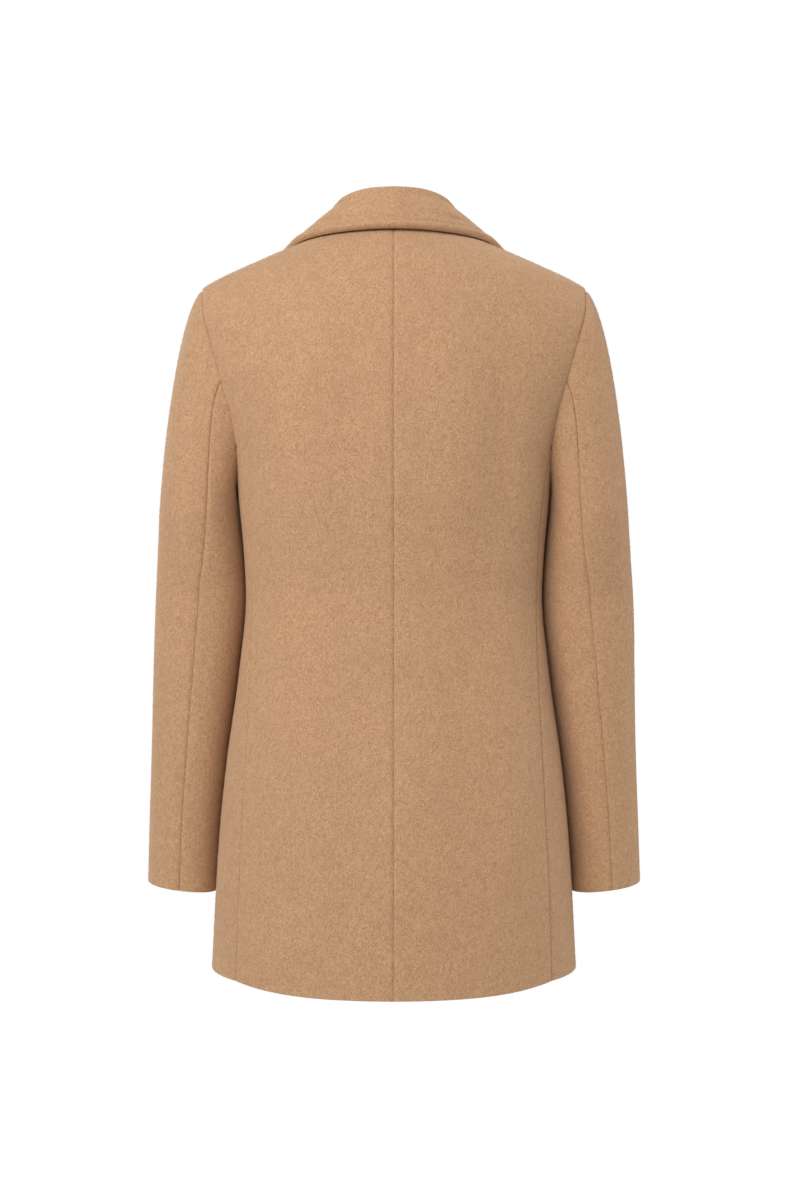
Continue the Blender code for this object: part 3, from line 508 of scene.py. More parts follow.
def neck_line(place):
    """Points (across, height) of the neck seam: 0 centre back, 1 neck point, 2 roll's top."""
    place = np.asarray(place, float)
    half_width = trunk["half_width"](NECK_POINT_HEIGHT)
    turn = np.minimum(place, 1.0) * pi / 2
    down = np.maximum(place - 1, 0.0)
    rise = (NECK_POINT_HEIGHT - NECK_BACK_HEIGHT) * (1 - np.cos(turn))
    back = np.stack([half_width * np.sin(turn), NECK_BACK_HEIGHT + rise], -1)
    across = half_width + (ROLL_TOP_ACROSS - half_width) * down**2
    height = NECK_POINT_HEIGHT + (ROLL_TOP_HEIGHT - NECK_POINT_HEIGHT) * down
    front = np.stack([across, height + 0 * down], -1)
    return np.where((place <= 1)[..., None], back, front)


def side_seam(column, armhole_step, share_up):
    """Points (across, height) of a side seam, a share of the way from hem to armhole."""
    top = armhole_point(armhole_step)
    stops = [row.height for row in SIDE_SEAMS] + [float(top[2])]
    values = [getattr(row, column) for row in SIDE_SEAMS] + [float(top[0])]
    across = smooth_curve(stops, values)
    low = hem_height(across(HEM_HEIGHT))
    height = low + share_up * (top[2] - low)
    return np.stack([across(height), height], -1)


def seam_and_armhole(column, first_step, last_step, row):
    """Points (across, height) of a panel's outer border: side seam, then armhole."""
    seam = side_seam(column, first_step, np.minimum(row / SIDE_SEAM_ROWS, 1.0))
    way = 1 if last_step > first_step else -1
    step = first_step + way * np.maximum(row - SIDE_SEAM_ROWS, 0.0)
    hole = armhole_point(step)[..., [0, 2]]
    return np.where((row <= SIDE_SEAM_ROWS)[:, None], seam, hole)


def shoulder_seam(share_out):
    """Points (across, height) from the neck point out to the shoulder tip."""
    height = NECK_POINT_HEIGHT + share_out * (SHOULDER_TIP_HEIGHT - NECK_POINT_HEIGHT)
    return np.stack([trunk["half_width"](height), height], -1)


# Grids


def share(points):
    """Each point's share of the way along a line of points."""
    way = np.concatenate([[0], np.cumsum(np.linalg.norm(np.diff(points, axis=0), axis=1))])
    return way / way[-1]


def spaced(border, last, step):
    """Places from 0 to last whose points on a border lie step apart, and closer at its ends."""
    dense = np.linspace(0, last, 800)
    points = border(dense)
    way = np.concatenate([[0], np.cumsum(np.linalg.norm(np.diff(points, axis=0), axis=1))])
    start = np.array(BORDER_STEPS)
    inner = np.linspace(start[-1], way[-1] - start[-1], max(int(way[-1] / step), 2) + 1)[1:-1]
    wanted = np.concatenate([start, inner, way[-1] - start[::-1]])
    return np.interp(wanted, way, dense)


def patch(left, right, bottom, top):
    """Grid of (across, height) that fills four border lines; the top's shape fades downwards."""
    bottom_share = share(bottom)
    top_share = share(top)
    rise = ((share(left) + share(right)) / 2)[:, None]
    fade = (rise**3)[..., None]
    u = ((1 - rise) * bottom_share + rise * top_share)[..., None]
    low = bottom - (bottom[0] + bottom_share[:, None] * (bottom[-1] - bottom[0]))
    high = top - (top[0] + top_share[:, None] * (top[-1] - top[0]))
    return left[:, None] + u * (right - left)[:, None] + (1 - fade) * low + fade * high


def near_line(first, second, start, end, spread):
    """How near points are to a line: 1 on it and fading with the spread on both sides."""
    run = (end[0] - start[0], end[1] - start[1])
    length = run[0] ** 2 + run[1] ** 2
    t = ((first - start[0]) * run[0] + (second - start[1]) * run[1]) / length
    t = np.clip(t, 0.0, 1.0)
    gap = (first - start[0] - t * run[0]) ** 2 + (second - start[1] - t * run[1]) ** 2
    swell = np.sin(pi * np.clip(t, FOLD_END_TRIM, 1 - FOLD_END_TRIM))
    return np.exp(-gap / spread**2) * (FOLD_END_SHARE + (1 - FOLD_END_SHARE) * swell)


def trunk_folds(points, facing, amount):
    """How far the cloth stands off the trunk's form, through its soft folds."""
    x, _, z = np.moveaxis(points, -1, 0)
    total = np.zeros(x.shape)
    for fold in TRUNK_FOLDS:
        start = (fold.from_across, fold.from_height)
        end = (fold.to_across, fold.to_height)
        if fold.facing == facing:
            total += fold.depth * near_line(x, z, start, end, fold.spread)
    edge = smoothstep(*FOLD_FADE_HEM, z) * (1 - smoothstep(*FOLD_FADE_SHOULDER, z))
    return amount * total * (FOLD_BORDER_SHARE + (1 - FOLD_BORDER_SHARE) * edge)


def on_trunk(grid, facing, amount=0.0, lift=None, mirror=1):
    """Lifts a grid of (across, height) onto the trunk; also returns its normals."""
    across, height = np.moveaxis(grid, -1, 0)
    base = np.stack([across, depth_at(across, height, facing), height], -1)
    normals = trunk_normal(base)
    raised = np.zeros(across.shape)
    if lift is not None:
        raised = raised + lift(across, height)
    if amount:
        raised = raised + trunk_folds(base * np.array((mirror, 1, 1)), facing, amount)
    return base + raised[..., None] * normals, normals


def drawn_in(points, gap=SEWN_GAP / 2):
    """Draws a grid's four borders in along its own lines, by half of the gap at a seam."""
    eased = points.copy()
    for rows, out in ((points, eased), (points.transpose(1, 0, 2), eased.transpose(1, 0, 2))):
        for edge, inner in ((0, 1), (-1, -2)):
            out[edge] += gap * unit(rows[inner] - rows[edge])
    return eased


def border_distances(points):
    """Distance of each grid point from each border, along the grid's own lines."""
    across = np.linalg.norm(np.diff(points, axis=1), axis=2)
    up = np.linalg.norm(np.diff(points, axis=0), axis=2)
    left = np.pad(np.cumsum(across, axis=1), ((0, 0), (1, 0)))
    bottom = np.pad(np.cumsum(up, axis=0), ((1, 0), (0, 0)))
    return {
        "left": left,
        "right": left[:, -1:] - left,
        "bottom": bottom,
        "top": bottom[-1:] - bottom,
    }


def wall_halves(points, thickness, edges, level, cloth):
    """Half walls outwards and inwards from the middle, and how near each point is to a seam;
    edges says how far each border is a turned edge (1) and not a seam (0), and level how far a
    seam's faces stay level (1) and don't sink into it (0)."""
    outer = np.full(points.shape[:2], 1.0) * thickness / 2
    inner = outer.copy()
    in_seam = np.zeros_like(outer)
    for side, distance in border_distances(points).items():
        along = (slice(None), None) if side in ("left", "right") else (None, slice(None))
        turned, kept = [
            np.atleast_1d(np.asarray(given.get(side, 0.0), float))[along] for given in (edges, level)
        ]
        near = np.clip(distance / (thickness / 2), 0.0, 1.0)
        rounding = np.sqrt(np.clip(1 - (1 - near) ** 2, EDGE_LEAST_SHARE, 1.0))
        fullness = 1 + cloth.edge_fullness * np.exp(-((distance / cloth.edge_width) ** 2))
        outer *= turned * rounding * fullness + (1 - turned)
        inner *= turned * rounding * fullness + (1 - turned)
        dip = np.exp(-((distance / cloth.seam_width) ** 2))
        crease = np.exp(-((distance / cloth.crease_width) ** 2))
        off_swell = (distance - SWELL_PLACE * cloth.seam_width) / (SWELL_WIDTH * cloth.seam_width)
        swell = np.exp(-(off_swell**2))
        sunk = cloth.seam_depth * dip + cloth.crease_depth * crease
        sinks = (1 - turned) * (1 - kept)
        outer -= sinks * (sunk - SWELL_SHARE * cloth.seam_depth * swell)
        inner -= sinks * INNER_DIP_SHARE * cloth.seam_depth * dip
        # Painted shade: the crease's mask, which the wool darkens for the shadow held in it.
        in_seam = np.maximum(in_seam, (1 - turned) * crease)
    return outer, inner, in_seam


def mirrored(points):
    return points * np.array((-1.0, 1.0, 1.0))


# Meshes


def add_wall(name, outer, inner, normals, material, in_seam=None):
    """A closed wall between two grids of points, with its faces turned outwards."""
    rows, columns = outer.shape[:2]
    index = np.arange(rows * columns).reshape(rows, columns)
    corners = [index[:-1, :-1], index[:-1, 1:], index[1:, 1:], index[1:, :-1]]
    front = np.stack(corners, -1).reshape(-1, 4)
    back = front[:, ::-1] + rows * columns
    loop = np.concatenate([index[0, :-1], index[:-1, -1], index[-1, :0:-1], index[:0:-1, 0]])
    following = np.roll(loop, -1)
    rim = np.stack([following, loop, loop + rows * columns, following + rows * columns], -1)
    faces = np.concatenate([front, back, rim])
    i, j = rows // 2, columns // 2
    turn = np.cross(outer[i, j + 1] - outer[i, j], outer[i + 1, j] - outer[i, j])
    if turn.dot(normals[i, j]) < 0:
        faces = faces[:, ::-1]
    points = np.concatenate([outer.reshape(-1, 3), inner.reshape(-1, 3)])
    mesh = bpy.data.meshes.new(name)
    mesh.from_pydata(points.tolist(), [], faces.tolist())
    face_side = np.zeros(len(faces), dtype=bool)
    face_side[: len(front)] = True
    attribute = mesh.attributes.new("face_side", "BOOLEAN", "FACE")
    attribute.data.foreach_set("value", face_side)
    # The crease mask of painted shade, read by the wool's colour.
    if in_seam is not None:
        attribute = mesh.attributes.new("in_seam", "FLOAT", "POINT")
        attribute.data.foreach_set("value", np.concatenate([in_seam.ravel(), in_seam.ravel()]))
    mesh.shade_smooth()
    mesh.set_sharp_from_angle(angle=SHARP_ANGLE)
    mesh.materials.append(material)
    mesh.update()
    piece = bpy.data.objects.new(name, mesh)
    bpy.context.scene.collection.objects.link(piece)
    return piece


def remove_piece(name):
    old = bpy.data.objects.get(name)
    if old:
        bpy.data.objects.remove(old, do_unlink=True)


def finish_piece(piece, node, slot):
    """Gives a cloth piece its nap, hangs the piece and its nap on the root, and hides the CAD part that
    it stands for.
    """
    cloth = bpy.context.scene.blazer_cloth
    values = {
        "Fibres per square metre": cloth.nap_density,
        "Fibre length": cloth.nap_length,
        "Fibre radius": cloth.nap_radius,
        "Lie": cloth.nap_lie,
        "Scatter": cloth.nap_scatter,
        "Material": wool(slot),
    }
    nap = made_by_nodes(f"nap_of_{piece.name}", piece.data, nap_tree(), values)
    for part in (piece, nap):
        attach(part, "root")
    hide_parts(node)


def add_cloth(name, node, slot, surface, normals, thickness, edges, level):
    """A cloth panel whose outer face is the given surface."""
    cloth = bpy.context.scene.blazer_cloth
    remove_piece(name)
    outer_half, inner_half, in_seam = wall_halves(surface, thickness, edges, level, cloth)
    middle = surface - thickness / 2 * normals
    outer = middle + outer_half[..., None] * normals
    inner = middle - inner_half[..., None] * normals
    piece = add_wall(name, outer, inner, normals, wool(slot), in_seam)
    finish_piece(piece, node, slot)
    return piece


# Sleeve form


def sleeve_ring(height, step, extra_turn):
    """Points of the left sleeve at heights and armhole steps."""
    inner = sleeve["inner"](height)
    outer = sleeve["outer"](height)
    back_turn = sleeve["back_seam_turn"](height) + extra_turn
    front_turn = sleeve["front_seam_turn"](height)
    low = SLEEVE_FRONT_SEAM_STEP - ARMHOLE_STEPS
    rising = (step - low) / (SLEEVE_BACK_SEAM_STEP - low)
    falling = (step - SLEEVE_BACK_SEAM_STEP) / (SLEEVE_FRONT_SEAM_STEP - SLEEVE_BACK_SEAM_STEP)
    towards = np.where(step <= SLEEVE_BACK_SEAM_STEP, rising, 1 - falling)
    turn = front_turn + towards * (back_turn - front_turn)
    angle = 2 * pi * step / ARMHOLE_STEPS + np.radians(turn)
    power = np.where(np.cos(angle) >= 0, SLEEVE_OUTER_ROUND, SLEEVE_INNER_ROUND)
    radius = (np.abs(np.cos(angle)) ** power + np.abs(np.sin(angle)) ** power) ** (-1 / power)
    across = (inner + outer) / 2 + (outer - inner) / 2 * radius * np.cos(angle)
    back = sleeve["middle"](height) + sleeve["half_depth"](height) * radius * np.sin(angle)
    return np.stack([across, back, height + 0 * across], -1)


def sleeve_point(row, step, extra_turn):
    """Points of the left sleeve: rows run from the armhole over the cap and down the tube."""
    row, step = np.broadcast_arrays(np.asarray(row, float), np.asarray(step, float))
    top = SLEEVES[0].height
    cuff = SLEEVES[-1].height
    down = np.clip((row - SLEEVE_CAP_ROWS) / SLEEVE_LEVELS, 0.0, 1.0)
    level = top + (cuff - top) * down
    tube = sleeve_ring(level, step, extra_turn * down)
    centre = (sleeve["inner"](level) + sleeve["outer"](level)) / 2
    tube[..., 2] += CUFF_TILT * down**2 * (tube[..., 0] - centre)
    turns = 2 * pi * step / ARMHOLE_STEPS
    height = (1 + np.cos(turns)) / 2
    reach = CAP_REACH_UNDER + (CAP_REACH_TOP - CAP_REACH_UNDER) * np.sqrt(height)
    lift = CAP_LIFT_UNDER + (CAP_LIFT_TOP - CAP_LIFT_UNDER) * height
    out = CAP_OUT_UNDER + (CAP_OUT_TOP - CAP_OUT_UNDER) * height
    down = CAP_DOWN_UNDER + (CAP_DOWN_TOP - CAP_DOWN_UNDER) * height
    sideways = [out, CAP_FULLNESS * np.sin(turns), -down]
    away = unit(np.stack(sideways, -1))
    start = armhole_point(step) + SEWN_GAP * away
    leave = start + reach[..., None] * away
    arrive = tube.copy()
    arrive[..., 2] += lift
    arrive[..., 0] -= CAP_LEAN * height
    t = np.clip(row / SLEEVE_CAP_ROWS, 0.0, 1.0)[..., None]
    cap = (1 - t) ** 3 * start + 3 * t * (1 - t) ** 2 * leave
    cap = cap + 3 * t * t * (1 - t) * arrive + t**3 * tube
    return np.where((row < SLEEVE_CAP_ROWS)[..., None], cap, tube)


def sleeve_normal(row, step, extra_turn):
    """Unit vectors out of the left sleeve."""
    row, step = np.broadcast_arrays(np.asarray(row, float), np.asarray(step, float))
    small = 0.02
    last = SLEEVE_CAP_ROWS + SLEEVE_LEVELS
    above = sleeve_point(np.maximum(row - small, 0), step, extra_turn)
    below = sleeve_point(np.minimum(row + small, last), step, extra_turn)
    before = sleeve_point(row, step - small, extra_turn)
    after = sleeve_point(row, step + small, extra_turn)
    return unit(np.cross(after - before, below - above)) * -1


def shared_armhole_directions(step):
    """Wall directions at the armhole for body and sleeve, shared over the shoulder's corner."""
    together = np.clip(2 * np.cos(2 * pi * step / ARMHOLE_STEPS), 0.0, 1.0)[..., None]
    body = trunk_normal(armhole_point(step))
    own = sleeve_normal(0.0, step, 0.0)
    return unit(body + together * own), unit(own + together * body)


def armhole_level(step):
    """How level an armhole's faces stay: fully under the arm, where they meet in a valley."""
    return 1 - np.clip(2 * np.cos(2 * pi * np.asarray(step) / ARMHOLE_STEPS), 0.0, 1.0) ** 3


def sleeve_folds(row, step, points, side, amount):
    """How far a sleeve's cloth stands off its form."""
    turn = np.degrees(2 * pi * step / ARMHOLE_STEPS)
    around = radians(1) * SLEEVE_RADIUS
    total = np.zeros(points.shape[:2])
    for fold in SLEEVE_FOLDS[side]:
        for whole in (-360, 0, 360):
            start = ((fold.from_turn + whole) * around, fold.from_height)
            end = ((fold.to_turn + whole) * around, fold.to_height)
            first = turn * around + 0 * points[..., 2]
            total += fold.depth * near_line(first, points[..., 2], start, end, fold.spread)
    fade = smoothstep(*SLEEVE_FOLD_START, row) * (1 - smoothstep(*SLEEVE_FOLD_END, row))
    return amount * total * fade


def turned_at_armhole(points, normals, beside, step):
    """Turns a body panel's wall at the armhole to meet the sleeve's."""
    shared = shared_armhole_directions(step)[0][:, None]
    away = border_distances(points)["right"]
    near = np.exp(-((away / ARMHOLE_TURN_WIDTH) ** 2)) * beside[:, None]
    return unit((1 - near[..., None]) * normals + near[..., None] * shared)


# Front and lapel form


def roll_across(height):
    """X of the left roll line at a height, from the break up to the collar."""
    rise = (height - BREAK_HEIGHT) / (ROLL_TOP_HEIGHT - BREAK_HEIGHT)
    return -OVERLAP + rise * (ROLL_TOP_ACROSS + OVERLAP)


def lap_lift(across, height):
    """How far the right front stands off the trunk, where it laps over the left one."""
    fade = 1 - smoothstep(BREAK_HEIGHT + LAP_FADE_START, BREAK_HEIGHT + LAP_FADE_END, height)
    return LAP_LIFT * fade * (1 - smoothstep(LAP_END, LAP_START, across))


def lapel_low(side):
    return LEFT_LAPEL_LOW if side == "left" else BREAK_HEIGHT - RIGHT_LAPEL_DROP


def roll_inset(height, side):
    """How far a front stops short of its roll line, to leave room for the turned cloth."""
    low = lapel_low(side)
    start = smoothstep(low - INSET_START, low, height)
    top = ROLL_TOP_HEIGHT
    end = 1 - smoothstep(top - INSET_END_LOW, top - INSET_END_HIGH, height)
    return (ROLL_RADIUS + LAPEL_THICKNESS / 2) * start * end


def front_border(row, side):
    """The centre border of the left front: front edge, roll line and neck seam."""
    rows_below = SIDE_SEAM_ROWS - ROWS_ABOVE_BREAK
    rows_roll = ROWS_ABOVE_BREAK + ARMHOLE_STEPS - SIDE_FRONT_SEAM_STEP - FRONT_NECK_ROWS
    low = HEM_HEIGHT + np.minimum(row / rows_below, 1.0) * (BREAK_HEIGHT - HEM_HEIGHT)
    up = np.clip((row - rows_below) / rows_roll, 0.0, 1.0)
    height = np.where(row <= rows_below, low, BREAK_HEIGHT + up * (ROLL_TOP_HEIGHT - BREAK_HEIGHT))
    across = np.maximum(roll_across(height), -OVERLAP) + roll_inset(height, side)
    edge = np.stack([across, height], -1)
    neck = neck_line(2 - np.maximum(row - rows_below - rows_roll, 0.0) / FRONT_NECK_ROWS)
    return np.where((row <= rows_below + rows_roll)[:, None], edge, neck)


def lapel_lines(share_up, low):
    """The roll line and outer edge (across, height), a share of the way up from the foot."""
    height = low + share_up * (ROLL_TOP_HEIGHT - LAPEL_CLEARANCE - low)
    rise = (height - BREAK_HEIGHT) / (ROLL_TOP_HEIGHT - BREAK_HEIGHT)
    foot = np.array((roll_across(BREAK_HEIGHT) + LAPEL_LOW_WIDTH, BREAK_HEIGHT))
    tip = np.array((LAPEL_TIP_ACROSS, LAPEL_TIP_HEIGHT))
    belly = LAPEL_BELLY * np.sin(pi * np.clip(rise, 0, 1))
    edge = foot + rise[:, None] * (tip - foot) + np.stack([belly, 0 * belly], -1)
    return np.stack([roll_across(height), height], -1), edge


def lapel_top(roll, edge, across_share):
    """Top edge of a lapel: along the collar's end to the notch, then down to the tip."""
    collar_end = collar_point("edge", float(len(COLLAR) - 1))[[0, 2]]
    notch = roll + LAPEL_NOTCH_SHARE * (collar_end - np.array((ROLL_TOP_ACROSS, ROLL_TOP_HEIGHT)))
    first = np.minimum(across_share / LAPEL_NOTCH_COLUMN_SHARE, 1.0)[:, None]
    beyond = (across_share - LAPEL_NOTCH_COLUMN_SHARE) / (1 - LAPEL_NOTCH_COLUMN_SHARE)
    return roll + first * (notch - roll) + np.maximum(beyond, 0.0)[:, None] * (edge - notch)


def lapel_middle(side, step, amount):
    """Middle surface of a lapel: round the roll from the front's border, then out to its edge."""
    low = lapel_low(side)
    rows = spaced(lambda s: lapel_lines(s, low)[0], 1.0, step)
    roll, edge = lapel_lines(rows, low)
    if side == "left":
        roll[:, 0] = np.maximum(roll[:, 0], LAPEL_LOW_WIDTH - roll[:, 0])
    start = roll + np.array((ROLL_RADIUS + LAPEL_THICKNESS / 2, 0.0))
    width = np.linalg.norm(edge[-1] - start[-1])
    flat = spaced(lambda s: np.stack([s * width, 0 * s], -1), 1.0, step)
    straight = start[:, None] + flat[None, :, None] * (edge - start)[:, None]
    top = lapel_top(start[-1], edge[-1], flat)
    last = top[0] + flat[:, None] * (top[-1] - top[0])
    straight = straight + (rows**5)[:, None, None] * (top - last)
    turns = np.linspace(-pi / 2, pi / 2, ROLL_STEPS)[:-1]
    above = LAPEL_REST + LAPEL_THICKNESS / 2
    centre = (above - CLOTH / 2) / 2
    round_roll = np.repeat(start[:, None], len(turns), axis=1)
    round_roll[..., 0] -= ROLL_RADIUS * np.cos(turns)
    grid = np.concatenate([round_roll, straight], axis=1)
    stands = np.concatenate([centre + ROLL_RADIUS * np.sin(turns), np.full(len(flat), above)])
    across, height = np.moveaxis(grid, -1, 0)
    base = np.stack([across, depth_at(across, height, -1), height], -1)
    normals = trunk_normal(base)
    stand = stands[None, :] + 0 * across
    if side == "right":
        stand = stand + lap_lift(across, height)
    facing_left = np.array((1 if side == "left" else -1, 1, 1))
    stand = stand + trunk_folds(base * facing_left, -1, amount)
    belly = np.sin(pi * np.clip(rows, 0, 1))[:, None] * np.concatenate(
        [0 * turns, np.sin(pi * flat)]
    )
    stand = stand + LAPEL_SPRING * belly
    return base + stand[..., None] * normals, normals


def grid_normals(middle, outwards):
    """Unit vectors off a grid of points, on the side that the given vectors point to."""
    normals = unit(np.cross(np.gradient(middle, axis=0), np.gradient(middle, axis=1)))
    i, j = middle.shape[0] // 2, middle.shape[1] * 3 // 4
    return normals if normals[i, j].dot(outwards[i, j]) > 0 else -normals


# Collar form


def collar_point(line, place):
    """Points of the collar's seam, fold or edge at places: 0 is the centre back."""
    if line == "fold":
        return np.stack([collar[f"fold_{name}"](place) for name in ("across", "back", "height")], -1)
    if line == "seam":
        neck_place = collar["neck_place"](place)
        across, height = np.moveaxis(neck_line(neck_place), -1, 0)
        facing = np.where(neck_place < 1, 1, -1)
        base = np.stack([across, depth_at(across, height, facing), height], -1)
        return base - CLOTH / 2 * trunk_normal(base)
    base = around_trunk(np.radians(collar["edge_angle"](place)), collar["edge_height"](place))
    return base + (COLLAR_EDGE_THICKNESS / 2 + SEAM_GAP) * trunk_normal(base)


def collar_profile(place):
    """Middle line of the collar's section from the neck seam over the fold to the edge."""
    seam = collar_point("seam", place)
    fold = collar_point("fold", place)
    edge = collar_point("edge", place)
    up = unit(fold - (seam + edge) / 2)
    out = edge - seam
    out = unit(out - up * out.dot(up))
    centre = fold - FOLD_RADIUS * up
    top_of_stand = centre - FOLD_RADIUS * out
    top_of_fall = centre + FOLD_RADIUS * out
    start = seam + COLLAR_SEAT * unit(top_of_stand - seam)
    drop = edge - top_of_fall
    bow = unit(np.cross(np.cross(drop, up), drop))
    length = np.linalg.norm(drop)
    points = [start + t * (top_of_stand - start) for t in np.linspace(0, 1, STAND_STEPS)[:-1]]
    for turn in np.linspace(0, pi, FOLD_STEPS)[:-1]:
        points.append(centre + FOLD_RADIUS * (sin(turn) * up - cos(turn) * out))
    shares = [t * (1 - FALL_EDGE_STEPS[0] / length) for t in np.linspace(0, 1, FALL_STEPS)]
    shares += [1 - distance / length for distance in FALL_EDGE_STEPS[1:]]
    for t in shares:
        points.append(top_of_fall + t * drop + FALL_BOW * sin(pi * t**FALL_BOW_RISE) * bow)
    return points


def laid_on_trunk(points, clearance, rise, share):
    """Moves points along the trunk's normals until they stand clear of it by the clearance, and
    by little more than that where the rise is small. Only a share of the way is gone."""
    for _ in range(3):
        normal = trunk_normal(points)
        step = 1e-5
        slope = (outside(points + step * normal) - outside(points)) / step
        stand = (outside(points) - 1) / slope
        free = np.maximum(stand - clearance, 0.0)
        wanted = clearance + free * rise / np.sqrt(free**2 + rise**2 + 1e-12)
        points = points + (share * (wanted - stand))[..., None] * normal
    return points


def collar_walls(middle, distance_from_edge, distance_from_end):
    """Half walls of the collar: a rolled edge with a soft groove above it, and round ends."""
    outer = np.full(middle.shape[:2], COLLAR_FALL_THICKNESS / 2)
    stand = STAND_STEPS + FOLD_STEPS // 2
    outer[:, :stand] = COLLAR_STAND_THICKNESS / 2
    outer[:, stand : stand + COLLAR_THICKENING_STEPS] = np.linspace(
        COLLAR_STAND_THICKNESS / 2, COLLAR_FALL_THICKNESS / 2, COLLAR_THICKENING_STEPS
    )
    swell = (COLLAR_EDGE_THICKNESS - COLLAR_FALL_THICKNESS) / 2
    at_roll = (distance_from_edge - COLLAR_ROLL_WIDTH / 2) / (COLLAR_ROLL_WIDTH / 2)
    outer += swell * np.exp(-(at_roll**2))
    radius = COLLAR_EDGE_THICKNESS / 2
    turns = ((distance_from_edge, radius), (distance_from_end, radius * COLLAR_END_SHARE))
    for distance, turn in turns:
        near = np.clip(distance / turn, 0.0, 1.0)
        outer *= np.sqrt(np.clip(1 - (1 - near) ** 2, COLLAR_THINNEST_SHARE, 1.0))
    inner = outer.copy()
    groove = distance_from_edge - COLLAR_ROLL_WIDTH * COLLAR_GROOVE_PLACE
    groove = groove / (COLLAR_ROLL_WIDTH * COLLAR_GROOVE_WIDTH)
    outer -= COLLAR_GROOVE_DEPTH * np.exp(-(groove**2))
    return outer, inner


# Colours and nodes


def linear(hex_colour):
    """A colour written as sRGB hex, as linear red, green, blue and alpha."""
    channels = [int(hex_colour[i : i + 2], 16) / 255 for i in (0, 2, 4)]
    bright = [c / 12.92 if c <= 0.04045 else ((c + 0.055) / 1.055) ** 2.4 for c in channels]
    return (*bright, 1.0)


def add_node(tree, kind, settings=(), links=()):
    """Adds a node and sets its properties or sockets; an output given as a value is linked."""
    node = tree.nodes.new(kind)
    for name, value in (*dict(settings).items(), *dict(links).items()):
        if isinstance(value, bpy.types.NodeSocket):
            tree.links.new(value, node.inputs[name])
        elif isinstance(name, str) and hasattr(node, name) and name not in node.inputs:
            setattr(node, name, value)
        else:
            node.inputs[name].default_value = value
    return node


def fresh_material(name):
    """An emptied node material, its output and its shader."""
    material = bpy.data.materials.new(name)
    material.use_nodes = True
    tree = material.node_tree
    tree.nodes.clear()
    output = tree.nodes.new("ShaderNodeOutputMaterial")
    shader = tree.nodes.new("ShaderNodeBsdfPrincipled")
    tree.links.new(shader.outputs[0], output.inputs[0])
    return material, tree, shader


